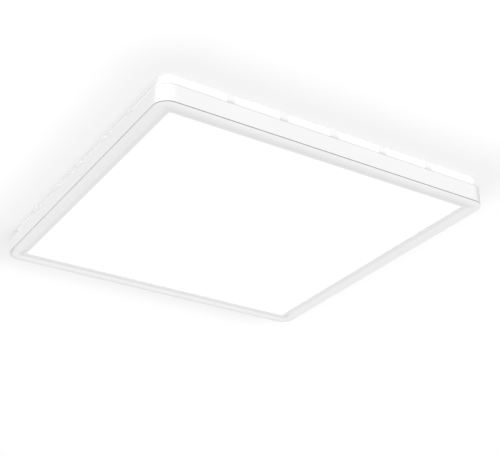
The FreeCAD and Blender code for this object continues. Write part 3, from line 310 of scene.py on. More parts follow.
def finish(name, colour, mottle_mm=40.0, mottle=0.97, grain_mm=0.4, grain_depth_mm=0.01,
           grain="NOISE", stretch=(1, 1, 1), roughness=0.4, swing=0.06, marks=None, lit=None,
           **constants):
    """Material whose colour and gloss change slowly over mottle_mm, with a grain of grain_mm.

    Every size is a real one in millimetres. Marks is a function that paints shade into the colour
    by place, and lit one that gives the strength of a glow by place, painted light included.
    Constants go straight to the shader's own sockets.
    """
    material = bpy.data.materials.new(name)
    material.use_nodes = True
    tree = material.node_tree
    tree.nodes.clear()
    place = add_node(tree, "ShaderNodeTexCoord", {}).outputs["Object"]
    patches = add_node(tree, "ShaderNodeTexNoise",
                       {"Scale": 1 / (mottle_mm * MM), "Detail": PATCH_DETAIL},
                       [("Vector", place)]).outputs["Fac"]
    drawn = add_node(tree, "ShaderNodeMapping", {"Scale": stretch},
                     [("Vector", place)]).outputs["Vector"]
    if grain == "CELLS":
        cells = add_node(tree, "ShaderNodeTexVoronoi", {"Scale": 1 / (grain_mm * MM)},
                         [("Vector", drawn)])
        height = cells.outputs["Distance"]
        tint = add_node(tree, "ShaderNodeRGBToBW", {},
                        [("Color", cells.outputs["Color"])]).outputs["Val"]
    else:
        height = add_node(tree, "ShaderNodeTexNoise",
                          {"Scale": 1 / (grain_mm * MM), "Detail": GRAIN_DETAIL},
                          [("Vector", drawn)]).outputs["Fac"]
        tint = patches
    colours = add_node(tree, "ShaderNodeValToRGB", {}, [("Fac", tint)])
    colours.color_ramp.elements[0].position = TONE_START
    colours.color_ramp.elements[0].color = shade(colour, mottle)
    colours.color_ramp.elements[1].position = TONE_END
    colours.color_ramp.elements[1].color = shade(colour, 1.0)
    colour_socket = colours.outputs["Color"]
    if marks:
        colour_socket = add_node(tree, "ShaderNodeVectorMath", {"operation": "MULTIPLY"},
                                 [(0, colour_socket), (1, marks(tree, place))]).outputs["Vector"]
    gloss = add_node(tree, "ShaderNodeMapRange",
                     {"To Min": roughness - swing, "To Max": roughness + swing}, [("Value", tint)])
    bump = add_node(tree, "ShaderNodeBump",
                    {"Strength": GRAIN_STRENGTH, "Distance": grain_depth_mm * MM},
                    [("Height", height)])
    shader = add_node(tree, "ShaderNodeBsdfPrincipled", constants,
                      [("Base Color", colour_socket), ("Roughness", gloss.outputs["Result"]),
                       ("Normal", bump.outputs["Normal"])])
    if lit:
        tree.links.new(lit(tree, place), shader.inputs["Emission Strength"])
    add_node(tree, "ShaderNodeOutputMaterial", {}, [("Surface", shader.outputs["BSDF"])])
    return material


def dress(slots):
    """Gives each CAD node its finish, by its own name if that is listed, or else by its slot."""
    done = 0
    for row in frame["record"]["subparts"]:
        material = slots.get(row["node"], slots.get(row["material_slot"]))
        if material is None:
            continue
        node = frame["nodes"][row["node"]]
        for material_slot in node.material_slots:
            material_slot.material = material
        done += 1
    if not done:
        raise RuntimeError("no CAD node has any of the slots " + ", ".join(slots))


# Modelling

def deselect():
    """Leaves edit mode and clears the selection, because operators act on all that is selected."""
    if bpy.context.object and bpy.context.object.mode != "OBJECT":
        bpy.ops.object.mode_set(mode="OBJECT")
    bpy.ops.object.select_all(action="DESELECT")


def pick(*objects):
    """Selects these objects alone and makes the first one active."""
    deselect()
    for piece in objects:
        piece.select_set(True)
    bpy.context.view_layer.objects.active = objects[0]


def turned(name, profile, segments, ring):
    """Turns a profile of (radius, height) points about the Z axis, by one extrusion a point.

    The two ends of a ring are joined. Any other piece is closed at both ends.
    """
    deselect()
    radius, height = profile[0]
    bpy.ops.mesh.primitive_circle_add(vertices=segments, radius=radius, location=(0, 0, height),
                                      fill_type="NOTHING" if ring else "NGON")
    piece = bpy.context.object
    piece.name = piece.data.name = name
    bpy.ops.object.mode_set(mode="EDIT")
    bpy.ops.mesh.select_all(action="SELECT")
    for (r0, z0), (r1, z1) in zip(profile, profile[1:]):
        bpy.ops.mesh.extrude_region_move(TRANSFORM_OT_translate={"value": (0, 0, z1 - z0)})
        bpy.ops.transform.resize(value=(r1 / r0, r1 / r0, 1), center_override=(0, 0, z1))
    if ring:
        bpy.ops.mesh.select_all(action="DESELECT")
        bpy.ops.mesh.select_non_manifold()
        bpy.ops.mesh.bridge_edge_loops()
    bpy.ops.mesh.select_all(action="SELECT")
    bpy.ops.mesh.normals_make_consistent(inside=False)
    bpy.ops.object.mode_set(mode="OBJECT")
    bpy.ops.object.transform_apply(location=True, rotation=True, scale=True)
    return piece


def cut(piece, cutter):
    """Cuts one mesh out of another and deletes the cutter."""
    pick(piece)
    modifier = piece.modifiers.new("cut", "BOOLEAN")
    modifier.object = cutter
    modifier.operation = "DIFFERENCE"
    modifier.solver = "EXACT"
    bpy.ops.object.modifier_apply(modifier=modifier.name)
    bpy.data.objects.remove(cutter)


def set_out(piece, places):
    """Copies a piece to each place, each copy with its own mesh, and joins them as one group."""
    copies = []
    for place in places:
        copy = piece.copy()
        copy.data = piece.data.copy()
        bpy.context.collection.objects.link(copy)
        copy.location = place
        copies.append(copy)
    name = piece.name
    bpy.data.objects.remove(piece)
    pick(*copies)
    bpy.ops.object.transform_apply(location=True, rotation=True, scale=True)
    bpy.ops.object.join()
    group = bpy.context.object
    group.name = group.data.name = name
    return group


def settle(piece, material, body, slot, *nodes):
    """Gives a finished piece its material, smooth faces and body, and hides the nodes that it stands for."""
    pick(piece)
    bpy.ops.object.shade_smooth_by_angle(angle=radians(SMOOTH_ANGLE))
    piece.data.materials.clear()
    piece.data.materials.append(material)
    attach(piece, body)
    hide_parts(*nodes)


def quarter_round(radius, centre_r, centre_z, start, end, steps=ROUND_STEPS):
    """Points of a round edge from one angle to another, in degrees, as (radius, height)."""
    points = []
    for step in range(steps + 1):
        angle = radians(start + (end - start) * step / steps)
        points.append((centre_r + radius * cos(angle), centre_z + radius * sin(angle)))
    return points


def zinc_steel(name):
    """Zinc-plated steel, passivated: a thin bluish mirror that small scratches have dulled."""
    steel = bpy.context.scene.ceiling_light_colours.steel
    return finish(name, steel, mottle_mm=9, mottle=0.86, grain_mm=0.5, grain_depth_mm=0.01,
                  roughness=0.34, swing=0.08, Metallic=1.0)


def cross_head_screws(name, head_r, head_h, shank_r, shank_l, places):
    """Pan-head screws with a cross recess. A place is the point under the head, on the axis."""
    sizes = bpy.context.scene.ceiling_light_sizes
    dome = sizes.screw_dome
    rim = head_h - dome
    profile = [(shank_r * across, shank_r * up - shank_l) for across, up in SCREW_TIP]
    profile += [(shank_r, 0), (head_r, 0)]
    profile += [(head_r * across, rim + dome * up) for across, up in SCREW_DOME]
    screw = turned(name, profile, SCREW_SIDES, ring=False)
    reach, half_width = sizes.recess_reach, sizes.recess_width / 2
    for reach_x, reach_y in ((reach, half_width), (half_width, reach)):
        # One arm of the recess. A cube of size 2 reaches as far to each side as its scale says.
        deselect()
        bpy.ops.mesh.primitive_cube_add(size=2, location=(0, 0, head_h))
        arm = bpy.context.object
        arm.scale = (reach_x, reach_y, head_h * RECESS_DEPTH)
        bpy.ops.object.transform_apply(location=True, rotation=True, scale=True)
        cut(screw, arm)
    return set_out(screw, places)


# Operators

class CEILING_LIGHT_OT_stage(bpy.types.Operator):
    """Builds the plain ceiling, the soft lights, the world and the camera"""
    bl_idname = "ceiling_light.stage"
    bl_label = "Stage, lights and camera"

    def execute(self, context):
        sizes = context.scene.ceiling_light_sizes
        levels = context.scene.ceiling_light_levels
        context.scene.view_settings.view_transform = "Standard"
        ceiling = self.ceiling(sizes.ceiling_side, levels)
        self.world(context.scene, levels.ambient)
        self.soft_light("key_light", KEY_DIRECTION, KEY_ANGLE, levels.key)
        side = self.soft_light("side_light", SIDE_DIRECTION, SIDE_ANGLE, levels.side)
        back = self.soft_light("back_light", BACK_DIRECTION, BACK_ANGLE, levels.back)
        above = self.soft_light("light_above", ABOVE_DIRECTION, ABOVE_ANGLE, levels.above)
        blockers = bpy.data.collections.new("ceiling_lets_light_above_through")
        blockers.objects.link(ceiling)
        blockers.collection_objects[0].light_linking.link_state = "EXCLUDE"
        for light in (side, back, above):
            light.light_linking.blocker_collection = blockers
        self.camera(context.scene)
        return {"FINISHED"}

    def ceiling(self, side, levels):
        """Plain pale ceiling that shows from below and is clear from above."""
        deselect()
        bpy.ops.mesh.primitive_plane_add(size=side, location=(0, 0, CEILING_GAP_MM * MM),
                                         rotation=(pi, 0, 0))
        ceiling = bpy.context.object
        ceiling.name = "stage_ceiling"
        bpy.ops.object.transform_apply(location=True, rotation=True, scale=True)
        # Matt emulsion rolled on plaster: white, with a painted shadow that greys it softly round the light.
        material = bpy.data.materials.new("matt_ceiling_paint")
        material.use_nodes = True
        material.cycles.emission_sampling = "NONE"
        tree = material.node_tree
        tree.nodes.clear()
        place = add_node(tree, "ShaderNodeTexCoord", {}).outputs["Object"]
        shifted = add_node(tree, "ShaderNodeMapping",
                           {"Location": HALO_SHIFT, "Scale": HALO_SCALE},
                           [("Vector", place)]).outputs["Vector"]
        # Painted shadow: grey close to the light, fading to white further out.
        grey = add_node(tree, "ShaderNodeMapRange",
                        {"interpolation_type": "SMOOTHSTEP", "From Min": HALO_NEAR,
                         "From Max": HALO_FAR, "To Min": levels.halo_shade, "To Max": 1.0},
                        [("Value", distance_out(tree, shifted))])
        lit_share = add_node(tree, "ShaderNodeMath",
                             {"operation": "MULTIPLY", 1: levels.ceiling_shadow},
                             [(0, grey.outputs["Result"])])
        peel = add_node(tree, "ShaderNodeTexNoise", {"Scale": 1 / (PAINT_GRAIN_MM * MM)},
                        [("Vector", place)])
        bump = add_node(tree, "ShaderNodeBump",
                        {"Strength": PAINT_STRENGTH, "Distance": PAINT_DEPTH_MM * MM},
                        [("Height", peel.outputs["Fac"])])
        paint = add_node(tree, "ShaderNodeBsdfDiffuse", {}, [("Color", lit_share.outputs["Value"]),
                                                              ("Normal", bump.outputs["Normal"])])
        lift = add_node(tree, "ShaderNodeEmission", {"Strength": levels.ceiling_lift},
                        [("Color", grey.outputs["Result"])])
        seen = add_node(tree, "ShaderNodeAddShader", {},
                        [(0, paint.outputs["BSDF"]), (1, lift.outputs["Emission"])])
        given = add_node(tree, "ShaderNodeEmission", {"Strength": levels.ceiling_light})
        mirrored = add_node(tree, "ShaderNodeEmission", {"Strength": 1.0})
        clear = add_node(tree, "ShaderNodeBsdfTransparent", {})
        rays = add_node(tree, "ShaderNodeLightPath", {}).outputs
        top = add_node(tree, "ShaderNodeNewGeometry", {}).outputs["Backfacing"]
        look = given.outputs["Emission"]
        for chosen, shader in ((rays["Is Glossy Ray"], mirrored.outputs["Emission"]),
                               (rays["Is Camera Ray"], seen.outputs["Shader"]),
                               (top, clear.outputs["BSDF"])):
            links = [("Fac", chosen), (1, look), (2, shader)]
            look = add_node(tree, "ShaderNodeMixShader", {}, links).outputs["Shader"]
        add_node(tree, "ShaderNodeOutputMaterial", {}, [("Surface", look)])
        ceiling.data.materials.append(material)
        return ceiling

    def world(self, scene, ambient):
        """Even light all round, which the camera, reflections and clear parts see as white."""
        world = bpy.data.worlds.new("even_white_room")
        scene.world = world
        world.use_nodes = True
        tree = world.node_tree
        tree.nodes.clear()
        white, even = [add_node(tree, "ShaderNodeBackground",
                                {"Color": linear("#FFFFFF"), "Strength": strength})
                       for strength in (1.0, ambient)]
        look = even.outputs["Background"]
        rays = add_node(tree, "ShaderNodeLightPath", {}).outputs
        for ray in ("Is Camera Ray", "Is Glossy Ray", "Is Transmission Ray"):
            links = [("Fac", rays[ray]), (1, look), (2, white.outputs["Background"])]
            look = add_node(tree, "ShaderNodeMixShader", {}, links).outputs["Shader"]
        add_node(tree, "ShaderNodeOutputWorld", {}, [("Surface", look)])

    def soft_light(self, name, direction, angle, level):
        """Far, soft light that gives a face square to it this share of the face's colour."""
        data = bpy.data.lights.new(name, "SUN")
        data.angle = radians(angle)
        data.energy = level * pi
        light = bpy.data.objects.new(name, data)
        light.rotation_euler = Vector(direction).to_track_quat("Z", "Y").to_euler()
        light.visible_glossy = False
        bpy.context.collection.objects.link(light)
        return light

    def camera(self, scene):
        """Camera at the picture's own viewing angle."""
        data = bpy.data.cameras.new("picture_camera")
        data.sensor_fit = "HORIZONTAL"
        data.sensor_width = CAMERA_SENSOR_MM
        data.lens = CAMERA_LENS_MM
        data.clip_start = CAMERA_NEAR
        camera = bpy.data.objects.new("picture_camera", data)
        bpy.context.collection.objects.link(camera)
        turn = Matrix((CAMERA_RIGHT, CAMERA_UP, CAMERA_BACK)).transposed().to_4x4()
        camera.matrix_world = Matrix.Translation(CAMERA_PLACE) @ turn
        scene.camera = camera


def bezel_marks(tree, place):
    """Painted shade in the joint above the bezel, in the recess beside the lit face, and on the far side."""
    levels = bpy.context.scene.ceiling_light_levels
    out = distance_out(tree, place)
    axes = add_node(tree, "ShaderNodeSeparateXYZ", {}, [(0, place)]).outputs
    joint = add_node(tree, "ShaderNodeMath", {"operation": "MULTIPLY"},
                     [(0, within(tree, out, JOINT_OUT)),
                      (1, within(tree, axes["Z"], JOINT_HEIGHT))]).outputs["Value"]
    return darkened(tree, (joint, levels.joint), (within(tree, out, COVE_OUT), levels.cove_shade),
                    (far_shade_lines(tree, axes["Y"], out), levels.far_shade_tone))


def far_shade_lines(tree, depth, out):
    """1 on the two soft lines of painted shade on the bezel's +Y side, and 0 elsewhere."""
    lines = add_node(tree, "ShaderNodeMath", {"operation": "MAXIMUM"},
                     [(0, within(tree, out, FAR_EDGE_OUT)), (1, within(tree, out, FAR_LIP_OUT))])
    on_side = within(tree, depth, FAR_SIDE_DEPTH)
    return add_node(tree, "ShaderNodeMath", {"operation": "MULTIPLY"},
                    [(0, lines.outputs["Value"]), (1, on_side)]).outputs["Value"]


def frame_marks(tree, place):
    """Painted shade on the side frame's underside, and a thin painted shadow line on its upper edge."""
    levels = bpy.context.scene.ceiling_light_levels
    height = add_node(tree, "ShaderNodeSeparateXYZ", {}, [(0, place)]).outputs["Z"]
    return darkened(tree, (within(tree, height, FRAME_JOINT_HEIGHT), levels.joint),
                    (within(tree, height, FRAME_EDGE_HEIGHT), levels.edge))


def ring_glow(tree, place):
    """Glow of the thin ring: weak back light on its face, and painted light on its windows' sides."""
    levels = bpy.context.scene.ceiling_light_levels
    inside = within(tree, distance_out(tree, place), WINDOW_OUT)
    return add_node(tree, "ShaderNodeMapRange",
                    {"To Min": levels.ring_seep, "To Max": levels.window_painted_light},
                    [("Value", inside)]).outputs["Result"]


class CEILING_LIGHT_OT_housing(bpy.types.Operator):
    """Finishes the bezel, the side frame, the back-light ring and the covers"""
    bl_idname = "ceiling_light.housing"
    bl_label = "White housing"

    def execute(self, context):
        colours = context.scene.ceiling_light_colours
        moulded = {"mottle_mm": 70, "mottle": 0.985, "grain_mm": 0.6, "grain_depth_mm": 0.006,
                   "roughness": 0.42, "swing": 0.04, "IOR": 1.53}
        dress({
            # ABS moulded in a finely eroded tool: satin, so edges shine softly. Its grain of
            # 0.1 mm is drawn coarser.
            # The bezel and the side frame carry marks of painted shade.
            "bezel": finish("satin_white_moulded_abs_bezel", colours.housing, marks=bezel_marks,
                            **moulded),
            "side_frame": finish("satin_white_moulded_abs_band", colours.housing,
                                 marks=frame_marks, **moulded),
            "white_plastic": finish("satin_white_moulded_abs", colours.housing, **moulded),
            # The same plastic, but so thin here that some of the back light seeps through.
            # The sides of its windows carry painted light, for the lens's light that falls on them.
            "backlight_ring": finish("thin_white_moulded_abs", colours.housing, lit=ring_glow,
                                     **{"Emission Color": list(colours.glow)}, **moulded),
            # Polypropylene cover: matt, with faint cloudy flow marks.
            "cover_plastic": finish("matt_white_moulded_polypropylene", colours.cover,
                                    mottle_mm=45, mottle=0.95, grain_mm=0.9, grain_depth_mm=0.02,
                                    roughness=0.55, swing=0.07, IOR=1.49),
        })
        return {"FINISHED"}


class CEILING_LIGHT_OT_lit_faces(bpy.types.Operator):
    """Finishes the opal diffuser and the lens of the back light"""
    bl_idname = "ceiling_light.lit_faces"
    bl_label = "Lit faces"

    def execute(self, context):
        colours = context.scene.ceiling_light_colours
        levels = context.scene.ceiling_light_levels
        glow = {"Emission Color": list(colours.glow), "IOR": 1.49}
        dress({
            # Opal acrylic, extruded and satin on the face: an even glow with no sign of the LEDs.
            "opal_acrylic": finish("satin_opal_acrylic_sheet", colours.opal, mottle_mm=80,
                                   mottle=0.985, grain_mm=0.5, grain_depth_mm=0.004,
                                   roughness=0.36, swing=0.03,
                                   **{"Emission Strength": levels.face_glow}, **glow),
            # Frosted acrylic strip, etched on the inside: a soft white band.
            "lens_acrylic": finish("frosted_acrylic_strip", colours.lens, mottle_mm=30,
                                   mottle=0.97, grain_mm=0.4, grain_depth_mm=0.006, roughness=0.45,
                                   swing=0.04, **{"Emission Strength": levels.ring_glow}, **glow),
        })
        return {"FINISHED"}


class CEILING_LIGHT_OT_optics(bpy.types.Operator):
    """Finishes the light guide, the films, the foam, the tray and the LED boards"""
    bl_idname = "ceiling_light.optics"
    bl_label = "Optical stack and LED boards"

    def execute(self, context):
        colours = context.scene.ceiling_light_colours
        dress({
            # Cast acrylic guide with a printed dot pattern: clear, with a milky dotted back.
            "clear_acrylic": finish("clear_acrylic_light_guide", linear("#EAF1F2"), mottle_mm=60,
                                    grain="CELLS", grain_mm=1.2, grain_depth_mm=0.02,
                                    roughness=0.12, swing=0.04, IOR=1.49,
                                    **{"Transmission Weight": 0.75}),
            # Polyester prism film: fine parallel ridges, drawn coarser than their 0.05 mm.
            "film": finish("ridged_polyester_film", linear("#F0F1F3"), grain_mm=0.5,
                           grain_depth_mm=0.03, stretch=(1, 0.02, 1), roughness=0.25, swing=0.05,
                           IOR=1.58),
            # White polyester reflector: flat and bright.
            "reflector_film": finish("white_polyester_reflector", linear("#F7F7F7"), mottle_mm=50,
                                     mottle=0.98, grain_mm=0.8, grain_depth_mm=0.005,
                                     roughness=0.5, swing=0.05),
            # Polyethylene foam sheet: closed cells of about half a millimetre.
            "foam": finish("white_polyethylene_foam", linear("#E3E3DF"), mottle_mm=12, mottle=0.93,
                           grain="CELLS", grain_mm=0.7, grain_depth_mm=0.12, roughness=0.8,
                           swing=0.06),
            # Mill-finish aluminium: grey, with fine lines along the rolling direction.
            "tray_aluminium": finish("rolled_aluminium_sheet", linear("#C9CBCE"), mottle_mm=35,
                                     mottle=0.9, grain_mm=0.35, grain_depth_mm=0.008,
                                     stretch=(1, 0.03, 1), roughness=0.38, swing=0.08,
                                     Metallic=1.0),
            # White solder mask over glass-fibre board: the weave shows as a faint quilt.
            "led_board": finish("white_solder_mask", linear("#F1F1EE"), mottle_mm=5, mottle=0.94,
                                grain_mm=0.5, grain_depth_mm=0.02, roughness=0.35, swing=0.05,
                                IOR=1.55),
            # Silicone with yellow phosphor in each LED package: a slightly soft, powdery yellow.
            "led_phosphor": finish("yellow_phosphor_silicone", linear("#F0DB7A"), mottle_mm=1.5,
                                   mottle=0.9, grain_mm=0.2, grain_depth_mm=0.01, roughness=0.3,
                                   swing=0.08, **{"Emission Color": linear("#FFF6DC"),
                                                  "Emission Strength": 0.6}),
            # Thin PVC insulation on the links between the boards.
            "link_wire": finish("red_pvc_link_insulation", colours.red, mottle_mm=6, mottle=0.9,
                                grain_mm=0.6, grain_depth_mm=0.01, roughness=0.35, swing=0.06,
                                IOR=1.54),
        })
        return {"FINISHED"}


class CEILING_LIGHT_OT_fixings(bpy.types.Operator):
    """Finishes the ceiling plate, its springs and rivets, and the cover screws"""
    bl_idname = "ceiling_light.fixings"
    bl_label = "Ceiling plate and springs"

    def execute(self, context):
        colours = context.scene.ceiling_light_colours
        dress({
            # Hot-dip galvanised sheet: flat grey crystals of 4 to 5 mm, each with its own shine.
            "plate_steel": finish("galvanised_steel_sheet", colours.steel, grain="CELLS",
                                  mottle=0.90, mottle_mm=40, grain_mm=4.5, grain_depth_mm=0.01,
                                  roughness=0.36, swing=0.07, Metallic=1.0),
            # Hardened spring strip: darker than the plate, with a straight grain along the strip.
            "spring_steel": finish("bright_spring_strip", linear("#A9AAAC"), mottle_mm=6,
                                   mottle=0.85, grain_mm=0.3, grain_depth_mm=0.01,
                                   stretch=(1, 1, 0.04), roughness=0.28, swing=0.06, Metallic=1.0),
            "screw_steel": zinc_steel("zinc_plated_screws_and_rivets"),
        })
        return {"FINISHED"}


class CEILING_LIGHT_OT_driver(bpy.types.Operator):
    """Finishes the driver's case, its board and what stands on it"""
    bl_idname = "ceiling_light.driver"
    bl_label = "Driver"

    def execute(self, context):
        colours = context.scene.ceiling_light_colours
        dress({
            # Flame-retardant polycarbonate: off-white and matt, so it looks darker than the
            # housing.
            "driver_plastic": finish("matt_flame_retardant_polycarbonate", colours.driver,
                                     mottle_mm=25, mottle=0.95, grain_mm=0.5, grain_depth_mm=0.03,
                                     roughness=0.55, swing=0.05, IOR=1.58),
            # Green solder mask over copper traces about 2 mm wide.
            "circuit_board": finish("green_solder_mask", linear("#1C5B33"), grain="CELLS",
                                    mottle=0.55, grain_mm=4.0, grain_depth_mm=0.03, roughness=0.3,
                                    swing=0.05, IOR=1.55),
            # Polyester winding tape, wrapped in 6 mm turns.
            "transformer_tape": finish("yellow_polyester_tape", linear("#DDBB2E"), mottle_mm=6,
                                       mottle=0.88, grain_mm=2.0, grain_depth_mm=0.03,
                                       stretch=(0.1, 1, 1), roughness=0.3, swing=0.06, IOR=1.58),
            # Shrunk PVC sleeve on aluminium cans.
            "capacitor_sleeve": finish("shrunk_dark_sleeve", linear("#1B1F2B"), mottle_mm=8,
                                       mottle=0.8, grain_mm=1.0, grain_depth_mm=0.02,
                                       roughness=0.25, swing=0.05, IOR=1.54),
            # Moulded epoxy: black with a sanded look.
            "chip_epoxy": finish("moulded_black_epoxy", linear("#171717"), mottle_mm=3, mottle=0.8,
                                 grain_mm=0.2, grain_depth_mm=0.01, roughness=0.6, swing=0.05),
            # Natural nylon: warm white, a little waxy.
            "connector_plastic": finish("natural_nylon", linear("#EFEDE4"), mottle_mm=10,
                                        mottle=0.94, grain_mm=0.4, grain_depth_mm=0.01,
                                        roughness=0.45, swing=0.05),
        })
        return {"FINISHED"}


class CEILING_LIGHT_OT_terminals(bpy.types.Operator):
    """Finishes the push-in terminal block, its buttons and its contacts"""
    bl_idname = "ceiling_light.terminals"
    bl_label = "Terminal block"

    def execute(self, context):
        colours = context.scene.ceiling_light_colours
        dress({
            # Light grey polycarbonate, polished tool: sharper gloss than the cases.
            "terminal_plastic": finish("light_grey_polycarbonate", linear("#D6D8DA"), mottle_mm=12,
                                       mottle=0.95, grain_mm=0.4, grain_depth_mm=0.008,
                                       roughness=0.3, swing=0.05, IOR=1.58),
            # Orange nylon buttons, matt where a screwdriver presses them.
            "button_orange": finish("orange_nylon_buttons", colours.button, mottle_mm=3,
                                    mottle=0.9, grain_mm=0.4, grain_depth_mm=0.02, roughness=0.45,
                                    swing=0.08),
            # Rolled brass strip: warm, with a fine grain along the bar.
            "contact_brass": finish("rolled_brass_strip", linear("#D2AE5F"), mottle_mm=4,
                                    mottle=0.85, grain_mm=0.3, grain_depth_mm=0.006,
                                    stretch=(1, 0.05, 1), roughness=0.28, swing=0.06,
                                    Metallic=1.0),
        })
        return {"FINISHED"}


class CEILING_LIGHT_OT_leads(bpy.types.Operator):
    """Finishes the insulation of the internal leads"""
    bl_idname = "ceiling_light.leads"
    bl_label = "Internal leads"

    def execute(self, context):
        colours = context.scene.ceiling_light_colours
        # PVC insulation, extruded: smooth and slightly waxy, with a gentle change of gloss.
        insulation = {"mottle_mm": 14, "mottle": 0.86, "grain_mm": 0.9, "grain_depth_mm": 0.015,
                      "roughness": 0.38, "swing": 0.08, "IOR": 1.54}
        dress({
            "lead_brown": finish("brown_pvc_insulation", colours.brown, **insulation),
            "lead_blue": finish("blue_pvc_insulation", colours.blue, **insulation),
            "lead_red": finish("red_pvc_insulation", colours.red, **insulation),
            "lead_black": finish("black_pvc_insulation", colours.black, **insulation),
        })
        return {"FINISHED"}


class CEILING_LIGHT_OT_bush(bpy.types.Operator):
    """Models the rubber bush of the cable hole with its rounded rim"""
    bl_idname = "ceiling_light.bush"
    bl_label = "Cable bush"

    def execute(self, context):
        low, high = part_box("cable_bush")
        sizes = context.scene.ceiling_light_sizes
        centre = (low + high) / 2
        rim_r = (high.x - low.x) / 2
        sleeve_r = rim_r - sizes.bush_rim_reach
        bore_r = sleeve_r - sizes.bush_wall
        rim_top = high.z - sizes.plate_thickness
        rim_low = rim_top - sizes.bush_rim_height
        rounding = sizes.bush_round
        end_r = sleeve_r - rounding * BUSH_TAPER
        profile = [(bore_r, high.z - rounding)]
        profile += quarter_round(rounding * BUSH_TOP_ROUND, bore_r + rounding, high.z - rounding,
                                 180, 90)[1:]
        profile += [(sleeve_r, high.z), (sleeve_r, rim_top), (rim_r - rounding, rim_top)]
        profile += quarter_round(rounding, rim_r - rounding, rim_top - rounding, 90, 0)[1:]
        profile += quarter_round(rounding, rim_r - rounding, rim_low + rounding, 0, -90)
        profile += [(sleeve_r, rim_low), (end_r, low.z + rounding)]
        profile += quarter_round(rounding, end_r - rounding, low.z + rounding, 0, -90)[1:]
        profile += [(bore_r + rounding, low.z)]
        profile += quarter_round(rounding, bore_r + rounding, low.z + rounding, 270, 180)[1:]
        bush = turned("cable_bush_moulded", profile, BUSH_SIDES, ring=True)
        bush.location = (centre.x, centre.y, 0)
        pick(bush)
        bpy.ops.object.transform_apply(location=True, rotation=True, scale=True)
        # Vulcanised rubber: dark, dull, with a dusty bloom.
        rubber = finish("black_vulcanised_rubber", linear("#232323"), mottle_mm=6, mottle=0.75,
                        grain_mm=0.5, grain_depth_mm=0.03, roughness=0.7, swing=0.1, IOR=1.52)
        settle(bush, rubber, "ceiling_mount", "bush_rubber", "cable_bush")
        return {"FINISHED"}


class CEILING_LIGHT_OT_leaves(bpy.types.Operator):
    """Models the folded leaf that grips the wire of each pole, at rest; the real leaf gives under its button"""
    bl_idname = "ceiling_light.leaves"
    bl_label = "Clamp leaves"

    def execute(self, context):
        thickness = context.scene.ceiling_light_sizes.leaf_thickness
        # Hardened stainless strip: bright, with a straight grain along the leaf.
        steel = finish("bright_stainless_leaf", linear("#B4B5B6"), mottle_mm=2, mottle=0.85,
                       grain_mm=0.25, grain_depth_mm=0.006, stretch=(1, 0.05, 1), roughness=0.26,
                       swing=0.06, Metallic=1.0)
        for pole in ("live", "neutral"):
            low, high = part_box(pole + "_clamp")
            leaf = self.folded(pole + "_clamp_folded_leaf", low, high, thickness)
            settle(leaf, steel, "lamp", "spring_steel", pole + "_clamp")
            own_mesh(leaf)
        return {"FINISHED"}

    def travel(self, joint):
        """How far a joint moves from rest."""
        return [row["range_m"][1] for row in frame["joints"] if row["name"] == joint][0]

    def folded(self, name, low, high, thickness):
        """Strip that runs along the bar, turns back in a round fold and rises to its tip."""
        half = thickness / 2
        fold_r = bpy.context.scene.ceiling_light_sizes.leaf_fold
        start = Vector((0, low.y, low.z + half))
        fold = (high.y - half - fold_r, low.z + half + fold_r)
        deselect()
        bpy.ops.mesh.primitive_plane_add(size=1, location=((low.x + high.x) / 2, 0, 0))
        leaf = bpy.context.object
        leaf.name = leaf.data.name = name
        bpy.ops.object.mode_set(mode="EDIT")
        bpy.ops.mesh.select_all(action="SELECT")
        bpy.ops.transform.resize(value=(high.x - low.x, fold[0] - start.y, 1))
        bpy.ops.transform.translate(value=(0, (fold[0] + start.y) / 2, start.z))
        bpy.ops.object.mode_set(mode="OBJECT")
        mesh = leaf.data
        last = max(vertex.co.y for vertex in mesh.vertices)
        at_end = [vertex.co.y > last - TOUCH for vertex in mesh.vertices]
        mesh.vertices.foreach_set("select", at_end)
        mesh.edges.foreach_set("select", [all(at_end[index] for index in edge.vertices)
                                          for edge in mesh.edges])
        mesh.polygons.foreach_set("select", [False] * len(mesh.polygons))
        bpy.ops.object.mode_set(mode="EDIT")
        bpy.ops.mesh.select_mode(type="EDGE")
        path = quarter_round(fold_r, fold[0], fold[1], FOLD_START, FOLD_END, FOLD_STEPS)
        path.append((low.y + thickness, high.z - half))
        for (y0, z0), (y1, z1) in zip(path, path[1:]):
            step = (0, y1 - y0, z1 - z0)
            bpy.ops.mesh.extrude_region_move(TRANSFORM_OT_translate={"value": step})
        bpy.ops.mesh.select_mode(type="VERT")
        bpy.ops.mesh.select_all(action="SELECT")
        bpy.ops.mesh.normals_make_consistent(inside=False)
        bpy.ops.object.mode_set(mode="OBJECT")
        bpy.ops.object.transform_apply(location=True, rotation=True, scale=True)
        wall = leaf.modifiers.new("thickness", "SOLIDIFY")
        wall.thickness = thickness
        wall.offset = 0
        bpy.ops.object.modifier_apply(modifier=wall.name)
        return leaf


